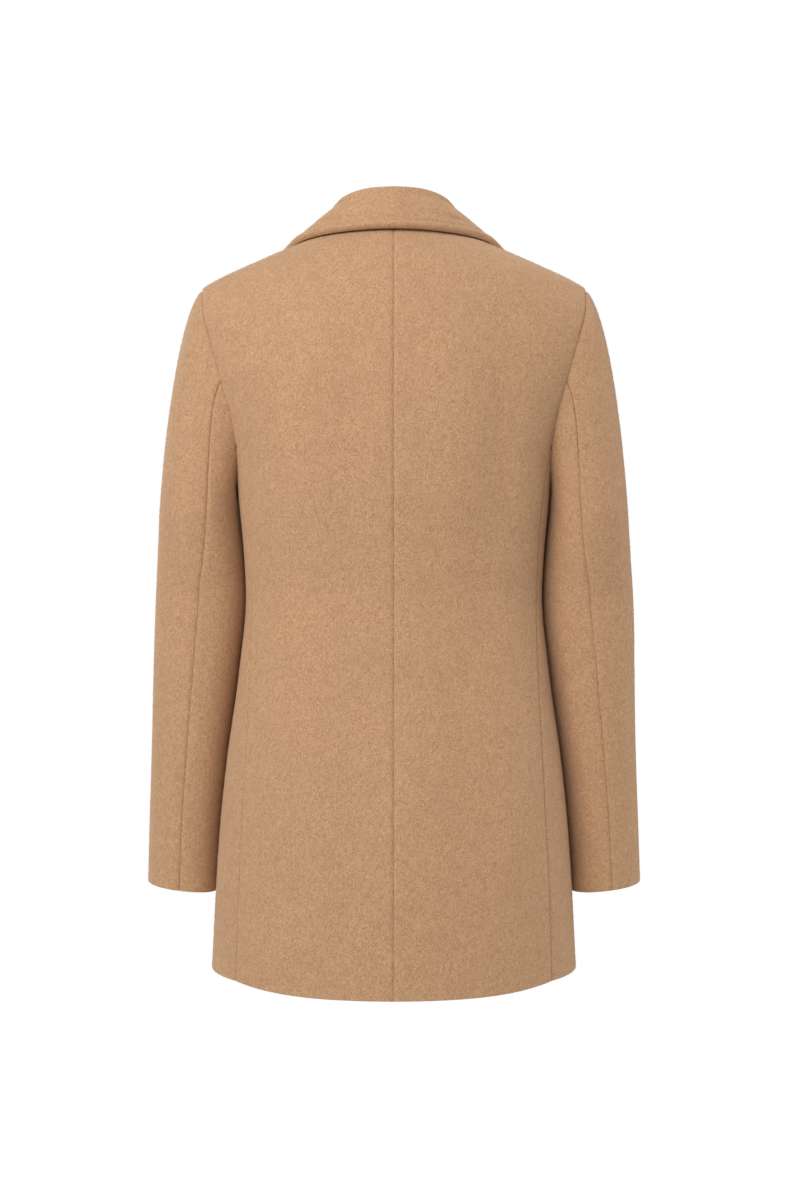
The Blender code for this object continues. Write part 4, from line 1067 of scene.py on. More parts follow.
def wool(slot):
    """Brushed wool melton: woven, fulled and raised, so that no weave shows. The eye gets short
    curled fibres, a soft cloudiness where the nap lies differently, and a pale bloom at edges."""
    name = f"Brushed wool melton, {slot.replace('_wool', '').replace('_', ' ')}"
    if name in bpy.data.materials:
        return bpy.data.materials[name]
    colours = bpy.context.scene.blazer_colours
    material, tree, shader = fresh_material(name)
    place = add_node(tree, "ShaderNodeTexCoord").outputs["Object"]
    # The nap is brushed down, so its pattern is drawn out along the height.
    brushed = add_node(
        tree, "ShaderNodeMapping", {"Scale": (1.0, 1.0, 0.72)}, {"Vector": place}
    ).outputs[0]
    cloud = add_node(
        tree,
        "ShaderNodeTexNoise",
        {"Scale": 1 / CLOUD_SIZE, "Detail": 3.0, "Roughness": 0.55},
        {"Vector": place},
    ).outputs[0]
    curl = add_node(
        tree,
        "ShaderNodeTexNoise",
        {"Scale": 1 / CURL_SIZE, "Detail": 2.0, "Roughness": 0.6, "Distortion": 1.4},
        {"Vector": brushed},
    ).outputs[0]
    from_middle = add_node(
        tree, "ShaderNodeMath", {"operation": "SUBTRACT", 0: curl, 1: 0.5}
    ).outputs[0]
    off_middle = add_node(
        tree, "ShaderNodeMath", {"operation": "ABSOLUTE", 0: from_middle}
    ).outputs[0]
    fibres = add_node(
        tree,
        "ShaderNodeMapRange",
        {"From Min": 0.0, "From Max": 0.11, "To Min": 1.0, "To Max": 0.0},
        {"Value": off_middle},
    ).outputs[0]
    grain = add_node(
        tree,
        "ShaderNodeTexNoise",
        {"Scale": 1 / GRAIN_SIZE, "Detail": 3.0, "Roughness": 0.7},
        {"Vector": brushed},
    ).outputs[0]
    spread = add_node(
        tree,
        "ShaderNodeMapRange",
        {"From Min": 0.30, "From Max": 0.70, "To Min": 0.0, "To Max": 1.0},
        {"Value": grain},
    ).outputs[0]
    fibre_part = add_node(
        tree, "ShaderNodeMath", {"operation": "MULTIPLY", 0: fibres, 1: FIBRE_SHARE}
    ).outputs[0]
    grain_part = add_node(
        tree, "ShaderNodeMath", {"operation": "MULTIPLY", 0: spread, 1: 1 - FIBRE_SHARE}
    ).outputs[0]
    pile = add_node(
        tree, "ShaderNodeMath", {"operation": "ADD", 0: fibre_part, 1: grain_part}
    ).outputs[0]
    threads = add_node(
        tree,
        "ShaderNodeMix",
        {"data_type": "RGBA", 0: pile, 6: colours.wool_shade, 7: colours.wool_light},
    ).outputs[2]
    toned = add_node(
        tree,
        "ShaderNodeMapRange",
        {"From Min": 0.30, "From Max": 0.70, "To Min": 0.0, "To Max": 0.30},
        {"Value": cloud},
    ).outputs[0]
    clouded = add_node(
        tree,
        "ShaderNodeMix",
        {"data_type": "RGBA", 0: toned, 6: threads, 7: colours.wool_cloud},
    ).outputs[2]
    # Painted shade: each seam's crease is darkened towards the seam's shade colour, for the shadow held
    # where the nap of both panels meets.
    seam = add_node(tree, "ShaderNodeAttribute", {"attribute_name": "in_seam"}).outputs["Fac"]
    seam_shade_share = add_node(
        tree, "ShaderNodeMath", {"operation": "MULTIPLY", 0: seam, 1: SEAM_SHADE}
    ).outputs[0]
    shaded = add_node(
        tree,
        "ShaderNodeMix",
        {"data_type": "RGBA", 0: seam_shade_share, 6: clouded, 7: linear(SEAM_SHADE_COLOUR)},
    ).outputs[2]
    tree.links.new(shaded, shader.inputs["Base Color"])
    bump = add_node(
        tree,
        "ShaderNodeBump",
        {"Strength": 0.55, "Distance": NAP_DEPTH},
        {"Height": pile},
    )
    tree.links.new(bump.outputs[0], shader.inputs["Normal"])
    shader.inputs["Roughness"].default_value = 0.95
    shader.inputs["Specular IOR Level"].default_value = 0.15
    shader.inputs["Sheen Weight"].default_value = 0.42
    shader.inputs["Sheen Roughness"].default_value = 0.5
    shader.inputs["Sheen Tint"].default_value = linear("E9CDB0")
    return material


def horn():
    """Polished dark horn: sawn and turned from a plate, so it has long streaks and a gloss."""
    name = "Polished buffalo horn"
    if name in bpy.data.materials:
        return bpy.data.materials[name]
    material, tree, shader = fresh_material(name)
    place = add_node(tree, "ShaderNodeTexCoord").outputs["Object"]
    # Streaks about 4 mm long and 1 mm wide, along the button's face.
    along = add_node(
        tree, "ShaderNodeMapping", {"Scale": (0.25, 1.0, 1.0)}, {"Vector": place}
    ).outputs[0]
    streak = add_node(
        tree,
        "ShaderNodeTexNoise",
        {"Scale": 900.0, "Detail": 4.0, "Distortion": 0.6},
        {"Vector": along},
    ).outputs[0]
    colour = add_node(
        tree,
        "ShaderNodeMix",
        {"data_type": "RGBA", 0: streak, 6: linear("2A190F"), 7: linear("6B4526")},
    ).outputs[2]
    tree.links.new(colour, shader.inputs["Base Color"])
    shader.inputs["Roughness"].default_value = 0.28
    shader.inputs["Coat Weight"].default_value = 0.35
    shader.inputs["Coat Roughness"].default_value = 0.12
    return material


def thread():
    """Spun sewing thread in the cloth's colour: two plies twisted, matt with a faint sheen."""
    name = "Spun sewing thread"
    if name in bpy.data.materials:
        return bpy.data.materials[name]
    material, tree, shader = fresh_material(name)
    place = add_node(tree, "ShaderNodeTexCoord").outputs["Object"]
    # The ply's twist, 0.5 mm long, is drawn as fine bands.
    twist = add_node(
        tree, "ShaderNodeTexNoise", {"Scale": 2000.0, "Detail": 1.0}, {"Vector": place}
    ).outputs[0]
    colour = add_node(
        tree,
        "ShaderNodeMix",
        {"data_type": "RGBA", 0: twist, 6: linear("8A6238"), 7: linear("B98C5E")},
    ).outputs[2]
    tree.links.new(colour, shader.inputs["Base Color"])
    shader.inputs["Roughness"].default_value = 0.7
    shader.inputs["Sheen Weight"].default_value = 0.2
    return material


def floor_paper():
    """Matt studio paper: plain and pale, with only a trace of tooth."""
    material, tree, shader = fresh_material("Matt white studio paper")
    place = add_node(tree, "ShaderNodeTexCoord").outputs["Object"]
    tooth = add_node(tree, "ShaderNodeTexNoise", {"Scale": 600.0}, {"Vector": place}).outputs[0]
    colour = add_node(
        tree,
        "ShaderNodeMix",
        {"data_type": "RGBA", 0: tooth, 6: linear("F7F7F6"), 7: linear("FBFBFA")},
    ).outputs[2]
    tree.links.new(colour, shader.inputs["Base Color"])
    shader.inputs["Roughness"].default_value = 0.9
    return material


# Sewing


def started_tree(name, sizes):
    """A node tree that takes a mesh, the named sizes and a material; also those inputs."""
    tree = bpy.data.node_groups.new(name, "GeometryNodeTree")
    face = tree.interface
    face.new_socket("Geometry", in_out="INPUT", socket_type="NodeSocketGeometry")
    for size in sizes:
        face.new_socket(size, in_out="INPUT", socket_type="NodeSocketFloat")
    face.new_socket("Material", in_out="INPUT", socket_type="NodeSocketMaterial")
    face.new_socket("Geometry", in_out="OUTPUT", socket_type="NodeSocketGeometry")
    return tree, tree.nodes.new("NodeGroupInput").outputs


def ended_tree(tree, shape, material):
    """Ends a node tree with real meshes in place of instances, and their material."""
    real = add_node(tree, "GeometryNodeRealizeInstances", {"Geometry": shape}).outputs[0]
    finished = add_node(
        tree, "GeometryNodeSetMaterial", {"Geometry": real, "Material": material}
    ).outputs[0]
    add_node(tree, "NodeGroupOutput", {"Geometry": finished})
    return tree


def thread_tree():
    """A node tree that turns lines into thread: a round section swept along each line."""
    tree, given = started_tree("Thread along lines", ("Thread radius",))
    lines = add_node(tree, "GeometryNodeMeshToCurve", (), {"Mesh": given["Geometry"]})
    section = add_node(
        tree,
        "GeometryNodeCurvePrimitiveCircle",
        {"Resolution": 6},
        {"Radius": given["Thread radius"]},
    )
    swept = add_node(
        tree,
        "GeometryNodeCurveToMesh",
        {"Fill Caps": True},
        {"Curve": lines.outputs[0], "Profile Curve": section.outputs[0]},
    )
    return ended_tree(tree, swept.outputs[0], given["Material"])


def purl_tree():
    """A node tree that sets purl stitches side by side round a buttonhole's outline."""
    sizes = ("Stitch pitch", "Stitch length", "Thread radius")
    tree, given = started_tree("Purl stitches round a slit", sizes)
    outline = add_node(tree, "GeometryNodeMeshToCurve", (), {"Mesh": given["Geometry"]})
    points = add_node(
        tree,
        "GeometryNodeResampleCurve",
        {"mode": "LENGTH"},
        {"Curve": outline.outputs[0], "Length": given["Stitch pitch"]},
    )
    # One stitch is a low arch of thread across the slit's edge.
    bend = add_node(
        tree, "ShaderNodeMath", {"operation": "MULTIPLY", 0: given["Stitch length"], 1: ARCH_SHARE}
    ).outputs[0]
    arch = add_node(
        tree,
        "GeometryNodeCurveArc",
        {"Resolution": 5, "Start Angle": radians(25), "Sweep Angle": radians(130)},
        {"Radius": bend},
    )
    section = add_node(
        tree,
        "GeometryNodeCurvePrimitiveCircle",
        {"Resolution": 5},
        {"Radius": given["Thread radius"]},
    )
    stitch = add_node(
        tree,
        "GeometryNodeCurveToMesh",
        {"Fill Caps": True},
        {"Curve": arch.outputs[0], "Profile Curve": section.outputs[0]},
    )
    lowered = add_node(
        tree,
        "GeometryNodeTransform",
        {"Rotation": (pi / 2, 0.0, pi / 2)},
        {"Geometry": stitch.outputs[0]},
    )
    tangent = tree.nodes.new("GeometryNodeInputTangent").outputs[0]
    off_cloth = add_node(
        tree,
        "GeometryNodeInputNamedAttribute",
        {"data_type": "FLOAT_VECTOR", "Name": "off_cloth"},
    ).outputs[0]
    upright = add_node(
        tree, "FunctionNodeAlignRotationToVector", {"axis": "Z"}, {"Vector": off_cloth}
    )
    along = add_node(
        tree,
        "FunctionNodeAlignRotationToVector",
        {"axis": "X", "pivot_axis": "Z"},
        {"Rotation": upright.outputs[0], "Vector": tangent},
    )
    placed = add_node(
        tree,
        "GeometryNodeInstanceOnPoints",
        (),
        {
            "Points": points.outputs[0],
            "Instance": lowered.outputs[0],
            "Rotation": along.outputs[0],
        },
    )
    return ended_tree(tree, placed.outputs[0], given["Material"])


def nap_tree():
    """A node tree that raises brushed fibres on the outer faces of a wall."""
    name = "Nap brushed down a surface"
    if name in bpy.data.node_groups:
        return bpy.data.node_groups[name]
    sizes = ("Fibres per square metre", "Fibre length", "Fibre radius", "Lie", "Scatter")
    tree, given = started_tree(name, sizes)
    on_outside = add_node(
        tree, "GeometryNodeInputNamedAttribute", {"data_type": "BOOLEAN", "Name": "face_side"}
    ).outputs[0]
    roots = add_node(
        tree,
        "GeometryNodeDistributePointsOnFaces",
        {"Seed": NAP_SEED},
        {
            "Mesh": given["Geometry"],
            "Selection": on_outside,
            "Density": given["Fibres per square metre"],
        },
    )
    out = roots.outputs["Normal"]
    # Down the surface: straight down, less what of it goes into the cloth.
    down = add_node(tree, "FunctionNodeInputVector", {"vector": (0.0, 0.0, -1.0)}).outputs[0]
    across = add_node(
        tree, "ShaderNodeVectorMath", {"operation": "CROSS_PRODUCT", 0: down, 1: out}
    ).outputs[0]
    along = add_node(
        tree, "ShaderNodeVectorMath", {"operation": "CROSS_PRODUCT", 0: out, 1: across}
    ).outputs[0]
    flat = add_node(
        tree, "ShaderNodeVectorMath", {"operation": "SCALE", 0: along, "Scale": given["Lie"]}
    ).outputs[0]
    stray = add_node(
        tree,
        "FunctionNodeRandomValue",
        {"data_type": "FLOAT_VECTOR", 0: (-1.0, -1.0, -1.0), 1: (1.0, 1.0, 1.0), "Seed": NAP_SEED},
    ).outputs[0]
    strayed = add_node(
        tree, "ShaderNodeVectorMath", {"operation": "SCALE", 0: stray, "Scale": given["Scatter"]}
    ).outputs[0]
    brushed = add_node(
        tree, "ShaderNodeVectorMath", {"operation": "ADD", 0: out, 1: flat}
    ).outputs[0]
    lean = add_node(
        tree, "ShaderNodeVectorMath", {"operation": "ADD", 0: brushed, 1: strayed}
    ).outputs[0]
    turned = add_node(tree, "FunctionNodeAlignRotationToVector", {"axis": "Z"}, {"Vector": lean})
    fibre = add_node(
        tree,
        "GeometryNodeMeshCone",
        {"fill_type": "NONE", "Vertices": 3, "Side Segments": 1},
        {"Radius Bottom": given["Fibre radius"], "Depth": given["Fibre length"]},
    )
    length = add_node(
        tree,
        "FunctionNodeRandomValue",
        {"data_type": "FLOAT", 2: 0.55, 3: 1.25, "Seed": NAP_SEED + 1},
    ).outputs[1]
    placed = add_node(
        tree,
        "GeometryNodeInstanceOnPoints",
        (),
        {
            "Points": roots.outputs["Points"],
            "Instance": fibre.outputs[0],
            "Rotation": turned.outputs[0],
            "Scale": length,
        },
    )
    return ended_tree(tree, placed.outputs[0], given["Material"])


def made_by_nodes(name, source_mesh, tree, values):
    """A plain mesh object made by a node tree from a source mesh and named inputs."""
    remove_piece(name)
    source = bpy.data.objects.new(f"{name}_source", source_mesh)
    bpy.context.scene.collection.objects.link(source)
    modifier = source.modifiers.new("Made by nodes", "NODES")
    modifier.node_group = tree
    for item in tree.interface.items_tree:
        if item.in_out == "INPUT" and item.name in values:
            modifier[item.identifier] = values[item.name]
    graph = bpy.context.evaluated_depsgraph_get()
    mesh = bpy.data.meshes.new_from_object(source.evaluated_get(graph), depsgraph=graph)
    bpy.data.objects.remove(source, do_unlink=True)
    if not mesh.polygons:
        raise RuntimeError(f"{name}: the node tree made nothing")
    mesh.name = name
    piece = bpy.data.objects.new(name, mesh)
    bpy.context.scene.collection.objects.link(piece)
    return piece


def front_place(across, height, stand):
    """Points that stand off the right front, and its normals, by X and height."""
    base = np.stack([across, depth_at(across, height, -1), height + 0 * across], -1)
    normals = trunk_normal(base)
    raised = stand + lap_lift(-across, height)
    return base + np.asarray(raised)[..., None] * normals, normals


def line_mesh(name, lines):
    """A mesh of open lines of points."""
    points = [tuple(point) for line in lines for point in line]
    edges = []
    first = 0
    for line in lines:
        edges += [(first + i, first + i + 1) for i in range(len(line) - 1)]
        first += len(line)
    mesh = bpy.data.meshes.new(name)
    mesh.from_pydata(points, edges, [])
    return mesh


# Settings


class BlazerCloth(bpy.types.PropertyGroup):
    """Sizes of the cloth and its sewing."""

    grid_step: bpy.props.FloatProperty(
        name="Grid step",
        description="Distance between the points of a cloth panel's mesh",
        default=0.0042,
        min=0.002,
        unit="LENGTH",
    )
    fold_amount: bpy.props.FloatProperty(
        name="Folds", description="How strongly the soft folds show", default=1.4, min=0.0
    )
    seam_depth: bpy.props.FloatProperty(
        name="Seam depth",
        description="How far the cloth dips into a seam",
        default=0.0009,
        unit="LENGTH",
    )
    crease_depth: bpy.props.FloatProperty(
        name="Crease depth",
        description="Extra depth of the narrow crease where two panels meet",
        default=0.0004,
        unit="LENGTH",
    )
    crease_width: bpy.props.FloatProperty(
        name="Crease width",
        description="How far from the seam the narrow crease fades",
        default=0.00045,
        unit="LENGTH",
    )
    seam_width: bpy.props.FloatProperty(
        name="Seam width",
        description="How far from the seam the dip fades",
        default=0.0021,
        unit="LENGTH",
    )
    edge_fullness: bpy.props.FloatProperty(
        name="Edge fullness", description="Extra thickness at a turned edge", default=0.12
    )
    edge_width: bpy.props.FloatProperty(
        name="Edge width",
        description="How far in from a turned edge its fullness fades",
        default=0.006,
        unit="LENGTH",
    )
    nap_density: bpy.props.FloatProperty(
        name="Nap density",
        description="Raised locks of fibre on each square metre",
        default=125000.0,
        min=1.0,
    )
    nap_length: bpy.props.FloatProperty(
        name="Nap length",
        description="Length of a raised lock of fibre",
        default=0.0017,
        unit="LENGTH",
    )
    nap_radius: bpy.props.FloatProperty(
        name="Nap radius",
        description="Radius of a lock of fibre at its root",
        default=0.00010,
        unit="LENGTH",
    )
    nap_lie: bpy.props.FloatProperty(
        name="Nap lie", description="How far the nap is brushed down, 0 is upright", default=2.4
    )
    nap_scatter: bpy.props.FloatProperty(
        name="Nap scatter", description="How far single locks stray from the lie", default=0.8
    )
    thread_radius: bpy.props.FloatProperty(
        name="Thread radius",
        description="Radius of the button and buttonhole thread",
        default=0.00028,
        unit="LENGTH",
    )
    stitch_pitch: bpy.props.FloatProperty(
        name="Stitch pitch",
        description="Distance between the purl stitches of a buttonhole",
        default=0.00062,
        unit="LENGTH",
    )
    stitch_length: bpy.props.FloatProperty(
        name="Stitch length",
        description="Length of a purl stitch",
        default=0.0024,
        unit="LENGTH",
    )


class BlazerColours(bpy.types.PropertyGroup):
    """Colours of the wool, as linear values."""

    wool_light: bpy.props.FloatVectorProperty(
        name="Fibre tips",
        description="Colour of the raised fibres",
        subtype="COLOR",
        size=4,
        default=linear("D6AD87"),
    )
    wool_shade: bpy.props.FloatVectorProperty(
        name="Between fibres",
        description="Colour down between the fibres",
        subtype="COLOR",
        size=4,
        default=linear("9E7450"),
    )
    wool_cloud: bpy.props.FloatVectorProperty(
        name="Clouds",
        description="Colour where the nap lies the other way",
        subtype="COLOR",
        size=4,
        default=linear("B18A6C"),
    )


class BlazerStage(bpy.types.PropertyGroup):
    """Sizes and strengths of the studio."""

    floor_height: bpy.props.FloatProperty(
        name="Floor height",
        description="Height of the floor below the wearer's shoulders",
        default=-1.50,
        unit="LENGTH",
    )
    room_light: bpy.props.FloatProperty(
        name="Room light", description="Strength of the even white light", default=0.42
    )
    key_power: bpy.props.FloatProperty(
        name="Key light", description="Power of the large soft light", default=45.0, unit="POWER"
    )


# Operators


class BLAZER_OT_backs(bpy.types.Operator):
    """Makes the two back panels, joined by the centre seam"""

    bl_idname = "blazer.backs"
    bl_label = "Back panels"

    def execute(self, context):
        cloth = context.scene.blazer_cloth
        last = SIDE_SEAM_ROWS + SIDE_BACK_SEAM_STEP
        side_top = armhole_point(SIDE_BACK_SEAM_STEP)[2]
        low_end = side_top + BACK_SPLIT_RISE

        def centre_back(row):
            step = SIDE_BACK_SEAM_STEP - np.maximum(row - SIDE_SEAM_ROWS, 0.0)
            level = armhole_point(step)[..., 2]
            spread = (level - side_top) / (armhole_point(0)[2] - side_top)
            below = HEM_HEIGHT + row / SIDE_SEAM_ROWS * (low_end - HEM_HEIGHT)
            above = low_end + (NECK_BACK_HEIGHT - low_end) * spread
            height = np.where(row <= SIDE_SEAM_ROWS, below, above)
            return np.stack([0 * height, height], -1)

        def neck_and_shoulder(column):
            neck = neck_line(np.minimum(column / NECK_COLUMNS, 1.0))
            out = np.maximum(column - NECK_COLUMNS, 0.0) / SHOULDER_COLUMNS
            return np.where((column < NECK_COLUMNS)[:, None], neck, shoulder_seam(out))

        columns_last = NECK_COLUMNS + SHOULDER_COLUMNS
        rows = spaced(centre_back, last, cloth.grid_step)
        columns = spaced(neck_and_shoulder, columns_last, cloth.grid_step)
        right = seam_and_armhole("back_across", SIDE_BACK_SEAM_STEP, 0, rows)
        hem_across = right[0, 0] * columns / columns_last
        bottom = np.stack([hem_across, hem_height(hem_across)], -1)
        grid = patch(centre_back(rows), right, bottom, neck_and_shoulder(columns))
        step = SIDE_BACK_SEAM_STEP - np.maximum(rows - SIDE_SEAM_ROWS, 0.0)
        beside_arm = rows >= SIDE_SEAM_ROWS
        for side, mirror in (("left", 1), ("right", -1)):
            points, normals = on_trunk(grid, 1, cloth.fold_amount, mirror=mirror)
            normals = turned_at_armhole(points, normals, beside_arm, step)
            points = drawn_in(points)
            if side == "right":
                points, normals = mirrored(points), mirrored(normals)
            add_cloth(
                f"back_panel_{side}", f"back_{side}", "back_wool", points, normals, CLOTH,
                {"bottom": 1.0}, {"right": beside_arm * armhole_level(step)},
            )
        return {"FINISHED"}


class BLAZER_OT_sides(bpy.types.Operator):
    """Makes the side panels, which run under the arm"""

    bl_idname = "blazer.sides"
    bl_label = "Side panels"

    def execute(self, context):
        cloth = context.scene.blazer_cloth
        span = SIDE_FRONT_SEAM_STEP - SIDE_BACK_SEAM_STEP

        def back_border(row):
            return side_seam("back_across", SIDE_BACK_SEAM_STEP, row)

        def top_border(column):
            return armhole_point(SIDE_BACK_SEAM_STEP + column)

        rows = spaced(back_border, 1.0, cloth.grid_step)
        columns = spaced(top_border, span, cloth.grid_step)
        back = back_border(rows)
        front = side_seam("front_across", SIDE_FRONT_SEAM_STEP, rows)
        start = np.arctan2(back[:, 0], depth_at(back[:, 0], back[:, 1], 1))[:, None]
        end = np.arctan2(front[:, 0], depth_at(front[:, 0], front[:, 1], -1))[:, None]
        tops = top_border(columns)
        top_angles = np.arctan2(tops[:, 0], tops[:, 1])
        across = (top_angles - top_angles[0]) / (top_angles[-1] - top_angles[0])
        rise = rows[:, None]
        even = (1 - rise) * columns / span + rise * across
        level = back[:, 1:] + even * (front[:, 1:] - back[:, 1:])
        dip = tops[:, 2] - (tops[0, 2] + across * (tops[-1, 2] - tops[0, 2]))
        points = around_trunk(start + even * (end - start), level + rise**3 * dip)
        normals = trunk_normal(points)
        points = drawn_in(points)
        for side in ("left", "right"):
            if side == "right":
                points, normals = mirrored(points), mirrored(normals)
            add_cloth(
                f"side_panel_{side}", f"side_{side}", "side_wool", points, normals, CLOTH,
                {"bottom": 1.0}, {"top": 1.0},
            )
        return {"FINISHED"}


class BLAZER_OT_fronts(bpy.types.Operator):
    """Makes the two fronts, the right one lapped over the left"""

    bl_idname = "blazer.fronts"
    bl_label = "Fronts"

    def execute(self, context):
        cloth = context.scene.blazer_cloth
        last = SIDE_SEAM_ROWS + ARMHOLE_STEPS - SIDE_FRONT_SEAM_STEP
        for side, lift in (("left", None), ("right", lap_lift)):
            rows = spaced(lambda row: front_border(row, side), last, cloth.grid_step)
            columns = spaced(shoulder_seam, 1.0, cloth.grid_step)
            right = seam_and_armhole("front_across", SIDE_FRONT_SEAM_STEP, ARMHOLE_STEPS, rows)
            hem_across = -OVERLAP + columns * (right[0, 0] + OVERLAP)
            bottom = np.stack([hem_across, hem_height(hem_across)], -1)
            grid = patch(front_border(rows, side), right, bottom, shoulder_seam(columns))
            mirror = 1 if side == "left" else -1
            points, normals = on_trunk(grid, -1, cloth.fold_amount, lift, mirror)
            step = SIDE_FRONT_SEAM_STEP + np.maximum(rows - SIDE_SEAM_ROWS, 0.0)
            beside_arm = rows >= SIDE_SEAM_ROWS
            normals = turned_at_armhole(points, normals, beside_arm, step)
            points = drawn_in(points)
            if side == "right":
                points, normals = mirrored(points), mirrored(normals)
            free_edge = (rows <= last - FRONT_NECK_ROWS).astype(float)
            add_cloth(
                f"front_panel_{side}", f"front_{side}", "front_wool", points, normals, CLOTH,
                {"bottom": 1.0, "left": free_edge},
                {"right": beside_arm * armhole_level(step)},
            )
        return {"FINISHED"}


class BLAZER_OT_lapels(bpy.types.Operator):
    """Makes the lapels, rolled back from the front edges up to the notch"""

    bl_idname = "blazer.lapels"
    bl_label = "Lapels"

    def execute(self, context):
        cloth = context.scene.blazer_cloth
        for side in ("left", "right"):
            step = LAPEL_GRID_SHARE * cloth.grid_step
            middle, outwards = lapel_middle(side, step, cloth.fold_amount)
            normals = grid_normals(middle, outwards)
            if side == "right":
                middle, normals = mirrored(middle), mirrored(normals)
            surface = middle + LAPEL_THICKNESS / 2 * normals
            add_cloth(
                f"lapel_roll_{side}", f"lapel_{side}", "lapel_wool", surface, normals,
                LAPEL_THICKNESS, {"bottom": 1.0, "top": 1.0, "right": 1.0}, {},
            )
        return {"FINISHED"}


class BLAZER_OT_collar(bpy.types.Operator):
    """Makes the collar: one band with its stand, fold and fall"""

    bl_idname = "blazer.collar"
    bl_label = "Collar"

    def execute(self, context):
        cloth = context.scene.blazer_cloth
        remove_piece("collar_band")
        last = len(COLLAR) - 1
        step = COLLAR_GRID_SHARE * cloth.grid_step
        places = spaced(lambda p: collar_point("edge", p), last, step)
        left = np.array([collar_profile(place) for place in places])
        up = border_distances(left)
        outer, inner = collar_walls(left, up["right"], up["top"])
        fall_from = STAND_STEPS + FOLD_STEPS - 2
        at_centre = 1 - smoothstep(*COLLAR_CENTRE_STATIONS, np.array(places))[:, None]
        rest = COLLAR_REST + (COLLAR_CENTRE_REST - COLLAR_REST) * at_centre
        clearance = inner[:, fall_from:] + SEAM_GAP + rest
        above_edge = up["right"][:, fall_from:]
        rise = COLLAR_STAND_OFF * (above_edge / COLLAR_LIE_WIDTH) ** COLLAR_LIE_POWER
        at_back = 1 - smoothstep(*COLLAR_BACK_STATIONS, np.array(places))[:, None]
        at_edge = 1 - smoothstep(COLLAR_LIE_WIDTH, COLLAR_LIE_END, above_edge)
        share = np.maximum(at_back, at_edge)
        left[:, fall_from:] = laid_on_trunk(left[:, fall_from:], clearance, rise, share)
        middle = np.concatenate([mirrored(left[:0:-1]), left])
        for _ in range(COLLAR_EASING):
            middle[1:-1] = (middle[:-2] + 2 * middle[1:-1] + middle[2:]) / 4
        outer = np.concatenate([outer[:0:-1], outer])[..., None]
        inner = np.concatenate([inner[:0:-1], inner])[..., None]
        outwards = middle - middle.mean(axis=(0, 1))
        normals = grid_normals(middle, outwards)
        piece = add_wall(
            "collar_band", middle + outer * normals, middle - inner * normals, normals,
            wool("collar_wool"),
        )
        finish_piece(piece, "collar", "collar_wool")
        return {"FINISHED"}


class BLAZER_OT_sleeves(bpy.types.Operator):
    """Makes the two-piece sleeves, set into the armholes"""

    bl_idname = "blazer.sleeves"
    bl_label = "Sleeves"

    def execute(self, context):
        cloth = context.scene.blazer_cloth
        last = SLEEVE_CAP_ROWS + SLEEVE_LEVELS
        spans = (
            ("top_sleeve", SLEEVE_FRONT_SEAM_STEP - ARMHOLE_STEPS, SLEEVE_BACK_SEAM_STEP),
            ("under_sleeve", SLEEVE_BACK_SEAM_STEP, SLEEVE_FRONT_SEAM_STEP),
        )
        for side, extra_turn in SLEEVE_EXTRA_TURN.items():
            for name, first_step, last_step in spans:

                def seam_line(row):
                    return sleeve_point(row, SLEEVE_BACK_SEAM_STEP, extra_turn)

                def ring_line(step):
                    return sleeve_ring(SLEEVES[2].height, first_step + step, 0.0)

                rows = spaced(seam_line, last, cloth.grid_step)[:, None]
                steps = spaced(ring_line, last_step - first_step, cloth.grid_step)
                steps = (first_step + steps)[None, :]
                points = sleeve_point(rows, steps, extra_turn)
                normals = sleeve_normal(rows, steps, extra_turn)
                away = border_distances(points)["bottom"]
                shared = shared_armhole_directions(steps + 0 * rows)[1]
                near = np.exp(-((away / ARMHOLE_TURN_WIDTH) ** 2))[..., None]
                off_form = sleeve_folds(rows, steps, points, side, cloth.fold_amount)
                points = points + off_form[..., None] * normals
                normals = unit((1 - near) * normals + near * shared)
                points = drawn_in(points)
                if side == "right":
                    points, normals = mirrored(points), mirrored(normals)
                add_cloth(
                    f"{name}_cloth_{side}", f"{name}_{side}", f"{name}_wool", points, normals,
                    CLOTH, {"top": 1.0}, {"bottom": armhole_level(steps[0])},
                )
        return {"FINISHED"}


